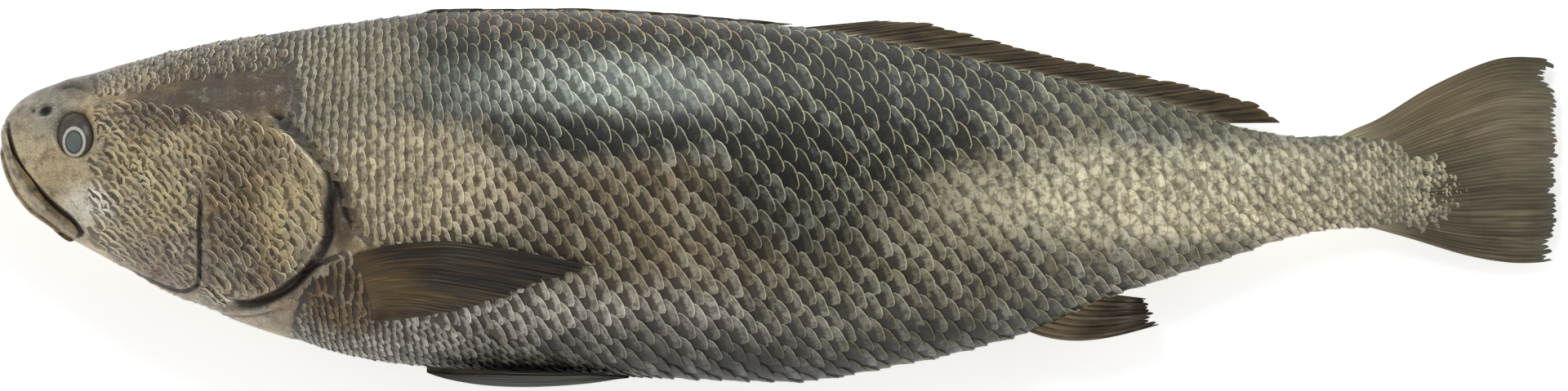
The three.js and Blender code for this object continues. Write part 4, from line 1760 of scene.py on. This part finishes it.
@dataclass
class PelvicFin:
    """A pelvic fin folded back along the belly, just off its middle line."""

    side: Side
    first: float = 273.0
    last: float = 402.0
    half_spread: float = 0.17
    off_middle: float = 0.2
    opening: float = 5.2
    rays: float = 7
    width: SmoothLine = SmoothLine(((0, 0.05), (0.12, 0.5), (0.4, 1), (0.75, 0.85), (1, 0.2)))

    def build(self, material: bpy.types.Material) -> bpy.types.Object:
        """Follows the belly's section, standing off it by a half sine along the fin.

        Args:
            material: The fin's finish.
        Returns:
            The piece.
        """
        along, across = np.linspace(0, 1, 90)[:, None], np.linspace(0, 1, 60)[None, :]
        left = ragged(across, self.rays, 5, 0.06)
        reach = frayed(along, left)
        s = self.first + (self.last - self.first) * reach
        off = self.off_middle + self.half_spread * self.width(along) * (2 * across - 1)
        stand = 0.8 + self.opening * np.sin(np.pi * along**0.8) + 0 * across
        thick = 3.6 - 2.1 * along + 0.7 * ray_profile(across, self.rays) * (1 - along)
        angle = -np.pi / 2 + off
        base, outer = (FORM.skin(s, angle, self.side, grow) for grow in (0.0, 4.0))
        out = (outer - base) / np.linalg.norm(outer - base, axis=-1, keepdims=True)
        inner, outer = base + out * stand[..., None], base + out * (stand + thick)[..., None]
        name = f"pelvic_fin_{self.side.word}"
        piece = make_piece(name, plate(outer, inner), material)
        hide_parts(name)
        return piece


# ---- The fish and the studio ----


@dataclass
class Fish:
    """All the fish's pieces, from the snout back."""

    def skins(self) -> None:
        """Head, trunk and the coats of scales."""
        head = HeadSkinFinish()
        HeadSkin().build(head.build())
        head_scales = head.build_scales()
        TrunkSkin().build(UnderSkin().build())
        coat = ScaledCoat().build()

        def on_trunk(s: Array, y: Array, reach: Array) -> Array:
            """Behind the shoulder, and above the small scales of the belly's front."""
            behind = RELIEF.behind_shoulder(s, y) > 1.0
            return (behind | (s > 264)) & ~self.fine_region(s, y)

        def on_fine(s: Array, y: Array, reach: Array) -> Array:
            """Where the scales are small: the chest and the front of the belly."""
            return self.fine_region(s, y) & (RELIEF.behind_shoulder(s, y) > 1.0)

        def on_nape(s: Array, y: Array, reach: Array) -> Array:
            """The head's ridge, over the nape's smooth patch."""
            return (y > 54 + 0.16 * s) & (s > 60) & (RELIEF.behind_shoulder(s, y) < 3)

        def nape_sink(s: Array, y: Array) -> Array:
            """The ridge's small scales lie flatter towards the smooth patch and the brow."""
            return ease(54, 70, y - 0.16 * s) * ease(60, 110, s) * 0.85 + 0.1

        def trunk_sink(s: Array, y: Array) -> Array:
            """The first and the last scales lie flatter."""
            first = ease(0, 14, RELIEF.behind_shoulder(s, y) + np.where(s > 255, 60, 0))
            return (0.25 + 0.75 * first) * (0.3 + 0.7 * ease(908, 876, s))

        def cheek_sink(s: Array, y: Array) -> Array:
            """The head's scales sink into the skin towards the eye, the jaws, the nape and the folds."""
            snout, _ = RELIEF.snout_edge.measure(s, y, 48)
            fold, _ = RELIEF.cheek_crease.measure(s, y, 48)
            edge = ease(1.5, 6, RELIEF.before_gill(s, y)) * ease(1.0, 4.0, np.abs(fold)) * ease(4, 14, np.abs(snout))
            edge = edge * ease(1.3, 1.9, RELIEF.eye_share(s, y)) * ease(62, 36, y + 0.1 * (s - 60))
            patchy = 0.8 + 0.2 * np.sin(s / 5.5 + 2 * np.sin(y / 9)) * np.sin(y / 6.5 + s / 17)
            return edge * (0.45 + 0.55 * ease(90, 150, s)) * patchy + 0.12

        def on_fin(s: Array, y: Array, reach: Array) -> Array:
            """The tail fin's root, inside a line that rounds off towards its middle rays."""
            across = (reach + 1) / (13 + 0.42 * (s - 884))
            ends = 938 - 26 * np.abs(across) + 5 * np.sin(reach * 0.9) * np.sin(reach * 2.3)
            return (np.abs(across) < 1) & (s < ends)

        def on_cheek(s: Array, y: Array, reach: Array) -> Array:
            """The cheek and the gill cover, clear of the eye, the jaws and the folds."""
            snout, _ = RELIEF.snout_edge.measure(s, y, 48)
            fold, _ = RELIEF.cheek_crease.measure(s, y, 48)
            inside = (s > 58) & (s < 212) & (y < 60 - 0.1 * (s - 60)) & (y > FORM.belly(s) + 6)
            clear = (RELIEF.before_gill(s, y) > 1.5) & (RELIEF.eye_share(s, y) > 1.3)
            return inside & clear & ((fold < -2.4) | (fold > 5.5)) & (np.abs(snout) > 5)

        for side in Side:
            skin = SkinMap(side)
            ScaleCoat(
                f"scales_{side.word}",
                skin=skin,
                first=172,
                last=904,
                pitch_along=8.2,
                pitch_across=16.2,
                keep=on_trunk,
                size=SmoothLine(
                    ((172, 0.62), (250, 0.7), (340, 0.9), (430, 1), (660, 1), (780, 0.82), (860, 0.6), (908, 0.45))
                ),
                lean=SmoothLine(((172, 0.0), (300, 0.04), (420, 0.08), (908, 0.08))),
                sink=trunk_sink,
                seed=21 + side.value,
            ).build(coat)
            ScaleCoat(
                f"small_scales_{side.word}",
                skin=skin,
                first=70,
                last=430,
                pitch_along=5.0,
                pitch_across=7.6,
                keep=on_fine,
                size=SmoothLine(((70, 0.7), (200, 0.85), (430, 1.15))),
                lean=SmoothLine(((70, 0.1), (430, 0.15))),
                lift=0.8,
                unevenness=1.2,
                sink=trunk_sink,
                seed=31 + side.value,
            ).build(coat)
            ScaleCoat(
                f"nape_scales_{side.word}",
                skin=skin,
                first=60,
                last=205,
                pitch_along=4.0,
                pitch_across=6.2,
                keep=on_nape,
                size=SmoothLine(((60, 0.75), (205, 1.0))),
                lean=SmoothLine(((60, 0.1), (205, 0.1))),
                lift=0.8,
                unevenness=2.0,
                sink=nape_sink,
                seed=51 + side.value,
            ).build(head_scales)
            ScaleCoat(
                f"tail_scales_{side.word}",
                skin=FinMap(side),
                first=886,
                last=948,
                pitch_along=3.6,
                pitch_across=5.0,
                keep=on_fin,
                size=SmoothLine(((884, 1.0), (944, 0.62))),
                lean=SmoothLine(((884, 0.0), (944, 0.0))),
                lift=0.8,
                unevenness=2.2,
                seed=61 + side.value,
            ).build(coat)
            ScaleCoat(
                f"cheek_scales_{side.word}",
                skin=skin,
                first=62,
                last=215,
                pitch_along=4.2,
                pitch_across=10.0,
                keep=on_cheek,
                size=SmoothLine(((62, 0.7), (130, 0.85), (215, 1.0))),
                lean=SmoothLine(((62, 0.0), (130, 0.1), (215, 0.3))),
                lift=0.62,
                length_in_pitches=2.7,
                sagitta=3.4,
                corner=2.4,
                turn=SmoothLine(((62, 0.8), (130, 0.5), (215, 0.1))),
                wobble=0.5,
                unevenness=2.4,
                columns=(-1.06, -1.0, -0.86, -0.62, -0.32, 0.0, 0.32, 0.62, 0.86, 1.0, 1.06),
                sink=cheek_sink,
                seed=41 + side.value,
            ).build(head_scales)

    @staticmethod
    def fine_region(s: Array, y: Array) -> Array:
        """The chest and the belly's front, under a line that falls back from the pectoral's root."""
        return (y < -74 - 0.24 * (s - 250)) & (s < 420)

    def jaws(self) -> None:
        """Lips and upper jaw blades."""
        lip = LipFinish("lip_skin", "a3957c", "6a5c48").build()
        blade = LipFinish("jaw_skin", "7a6238", "33281a", 0.8).build()
        JawBand(
            "lower_lip",
            Spline(((1.6, 33), (1.8, 26), (4.2, 16), (8.2, 6.5), (13.5, -2), (20, -9.5), (30, -16.5), (38, -22))),
            width=SmoothLine(((0, 1.6), (0.5, 2.2), (0.85, 1.6), (1, 0.1))),
            thickness=1.6,
            proud=0.4,
        ).build(lip)
        JawBand(
            "upper_lip",
            Spline(((2.4, 44), (3.0, 38), (5.5, 28), (9.5, 18), (15, 8.5), (22, 0), (30, -8))),
            width=SmoothLine(((0, 2.6), (0.4, 3.2), (0.8, 2.4), (1, 1.2))),
            thickness=1.8,
            proud=0.4,
        ).build(lip)
        for side in Side:
            Maxilla(side).build(blade)

    def eyes(self) -> None:
        """Both eyes."""
        finish = EyeFinish().build()
        for side in Side:
            Eye(side).build(finish)

    def median_fins(self) -> None:
        """The two dorsal fins, the anal fin and the tail fin."""
        spiny = FinFinish("spiny_skin", 10, "4a3d2a", "1f1a13", "3b3222", "6b6454", root="3c3529")
        soft = FinFinish("dorsal_skin", 44, "544429", "17120c", "5a4728", "6f5f42", 0.75, 0.4, "857a67", 0.4)
        MedianFin(
            "dorsal_fin_spiny",
            nodes=("dorsal_fin_spiny",),
            slot="dorsal_fin",
            root=over((252, 480), FORM.back, -4.5),
            tip=over((276, 508), FORM.back, 1.6),
            rays=10,
            thickness=SmoothLine(((0, 6.5), (1, 3))),
            steps_along=16,
            torn=0.1,
        ).build(spiny.build())
        upper = SmoothLine(
            (
                (512, 110.0), (553, 112.4), (587, 111.8), (608, 107.2), (652, 95.7), (731, 77.8),
                (793, 63.7), (814, 53.8), (821, 47),
            )
        )
        MedianFin(
            "dorsal_fin_soft",
            nodes=("dorsal_fin_soft",),
            slot="dorsal_fin",
            root=over((496, 776), FORM.back, -3.5),
            tip=over((560, 821), upper),
            rays=30,
            thickness=SmoothLine(((0, 5), (0.3, 3.2), (1, 1.3))),
            sag=5,
            torn=0.09,
            ridge=0.3,
            steps_across=420,
        ).build(soft.build())
        MedianFin(
            "anal_fin",
            nodes=("anal_fin",),
            slot="anal_fin",
            root=lambda v: np.stack([652 + 50 * v, -84 + 22 * v], -1),
            tip=lambda v: np.stack([742 - 9 * v, -82.5 + 16.7 * v], -1),
            rays=9,
            thickness=SmoothLine(((0, 5), (1, 1.4))),
            sag=4,
            front_bow=9.5,
            torn=0.09,
        ).build(FinFinish("anal_skin", 14, "54462f", "1e1811", "1f1913", "98917f", 0.75, 0.5, "8a7b60", 0.5).build())
        top = Spline(((850, 34), (866, 42.5), (884, 50.5), (918, 71), (957, 87.5), (985, 89.2), (997, 86.2)))
        bottom = Spline(((858, -16), (878, -20.5), (905, -28), (939, -38.1), (966, -42.8), (986, -43), (997, -41)))
        self.tail(top, bottom)

    def tail(self, top: Spline, bottom: Spline) -> None:
        """The tail fin: points blend from the lower outer ray to the upper one.

        Args:
            top: The upper outer ray.
            bottom: The lower outer ray.
        """
        rays = 40
        along, across = np.linspace(0, 1, 92)[:, None], np.linspace(0, 1, 480)[None, :]
        left = ragged(across, rays, 8, 0.09) - 0.06 * hump(across - 0.9, 0.04) - 0.012 * np.sin(across * 23)
        left = left - 0.02 * np.abs(np.sin(across * 171 + 2 * np.sin(across * 41)))
        reach = frayed(along, left, power=3)
        low, high = bottom(reach), top(reach)
        flat = low + (high - low) * across[..., None]
        flat[..., 0] += 12 * reach**2 * across * (1 - across)
        spread = across + 0.011 * np.sin(37 * across + 5 * along) + 0.006 * np.sin(91 * across - 9 * along)
        branches = 0.6 * ray_profile(spread, rays) + 0.4 * ray_profile(spread, rays * 2) * ease(0.3, 0.8, along)
        half = (0.9 + 3.0 * ease(0.78, 0.34, along)) * (0.78 + 0.22 * branches)
        level = FORM.middle(flat[..., 0]) + 0.5 * along * np.sin(across * 21)
        upper = np.concatenate([flat, np.maximum(level + half, 1.0)[..., None]], -1)
        lower = np.concatenate([flat, np.maximum(level - half, 0.3)[..., None]], -1)
        stains = (("a58d66", (915, 62), (44, 24)), ("35241a", (903, -34), (50, 20)), ("a3957a", (975, 44), (30, 30)))
        finish = FinFinish("tail_skin", 52, "6f644d", "39352a", "565a4f", "948a70", 0.8, 0.5, "bdb192", 0.45, stains)
        piece = make_piece("caudal_fin", plate(upper, lower), finish.build())
        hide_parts("caudal_fin")

    def paired_fins(self) -> None:
        """Pectoral and pelvic fins."""
        stains = (("8a6f44", (248, -58), (20, 14)), ("6e5737", (296, -68), (50, 8)))
        pectoral = FinFinish(
            "pectoral_skin", 30, "32271a", "110c08", "120d08", "7a6238", 0.55, 0.5, "463822", 0.3, stains
        ).build()
        pelvic = FinFinish("pelvic_skin", 14, "1d160e", "0c0906", "1d170f", "5f5030", 0.75, 0.25).build()
        for side in Side:
            PairedFin(side).build(pectoral)
            PelvicFin(side).build(pelvic)

    def build(self) -> None:
        """Makes every piece."""
        self.skins()
        self.jaws()
        self.eyes()
        self.median_fins()
        self.paired_fins()


@dataclass
class Studio:
    """A pale table, soft lights and a camera that looks straight down."""

    lens: float = 200.0
    sensor: float = 36.0
    view_width: float = 1.0026
    focus_level: float = 0.05
    off_centre: Pair = (0.0005, 0.0008)
    table_half: float = 6.0
    table_glow: float = 0.55

    def lamp(self, name: str, at: Triple, aim: Triple, size: Pair, power: float, tint: Colour) -> None:
        """A soft rectangular lamp.

        Args:
            name: Its name.
            at: Where it stands.
            aim: What it points at.
            size: Its two sides.
            power: Its power in watts.
            tint: Its colour.
        """
        data = bpy.data.lights.new(name, "AREA")
        data.shape, data.size, data.size_y = "RECTANGLE", size[0], size[1]
        data.energy, data.color = power, tint[:3]
        lamp = bpy.data.objects.new(name, data)
        lamp.location = at
        lamp.rotation_euler = (Vector(aim) - Vector(at)).to_track_quat("-Z", "Y").to_euler()
        lamp.visible_camera = False
        bpy.context.scene.collection.objects.link(lamp)

    def table(self) -> None:
        """A pale floor, gently clouded."""
        bench = Bench("table")
        clouds = bench.noise(3, 3)
        shade = bench.blend(clouds, (0.93, 0.93, 0.925, 1), (0.96, 0.96, 0.955, 1))
        glow = {"Emission Color": shade, "Emission Strength": self.table_glow}
        material = bench.finish({"Base Color": shade, "Roughness": 0.75, "Specular IOR Level": 0.2, **glow})
        mesh = bpy.data.meshes.new("table")
        half = self.table_half
        mesh.from_pydata([(-half, -half, 0), (half, -half, 0), (half, half, 0), (-half, half, 0)], [], [(0, 1, 2, 3)])
        mesh.materials.append(material)
        floor = bpy.data.objects.new("table", mesh)
        bpy.context.scene.collection.objects.link(floor)

    def sky(self) -> None:
        """Soft light from all round, brighter near the horizon than overhead."""
        world = bpy.data.worlds.new("studio")
        bpy.context.scene.world = world
        world.use_nodes = True
        nodes, links = world.node_tree.nodes, world.node_tree.links
        nodes.clear()
        where = nodes.new("ShaderNodeTexCoord")
        parts = nodes.new("ShaderNodeSeparateXYZ")
        ramp = nodes.new("ShaderNodeMapRange")
        ramp.interpolation_type = "SMOOTHSTEP"
        ramp.inputs["From Min"].default_value, ramp.inputs["From Max"].default_value = 0.62, 0.9
        ramp.inputs["To Min"].default_value, ramp.inputs["To Max"].default_value = 1.0, 0.1
        light, out = nodes.new("ShaderNodeBackground"), nodes.new("ShaderNodeOutputWorld")
        links.new(where.outputs["Generated"], parts.inputs[0])
        links.new(parts.outputs[2], ramp.inputs["Value"])
        links.new(ramp.outputs[0], light.inputs["Strength"])
        links.new(light.outputs[0], out.inputs["Surface"])

    def build(self) -> None:
        """Sets the table, the lights and the camera."""
        self.table()
        self.sky()
        self.lamp("back_window", (-0.10, 0.66, 0.80), (-0.10, 0.07, 0.08), (0.20, 0.5), 5.0, (0.86, 0.95, 1.0, 1))
        self.lamp("warm_side", (0.1, -1.3, 0.9), (0.0, 0.0, 0.05), (1.6, 0.5), 4.0, (1.0, 0.92, 0.8, 1))
        data = bpy.data.cameras.new("camera")
        data.lens, data.sensor_width = self.lens, self.sensor
        data.clip_end = 50.0
        camera = bpy.data.objects.new("camera", data)
        camera.location = (*self.off_centre, self.focus_level + self.view_width * self.lens / self.sensor)
        bpy.context.scene.collection.objects.link(camera)
        bpy.context.scene.camera = camera
        bpy.context.scene.view_settings.view_transform = "Standard"


def main() -> None:
    """Builds the fish and its studio; the fish's pieces log their face counts as they are made."""
    logging.basicConfig(level=logging.INFO, format="%(name)s %(message)s")
    Fish().build()
    Studio().build()


if __name__ == "__main__":
    main()
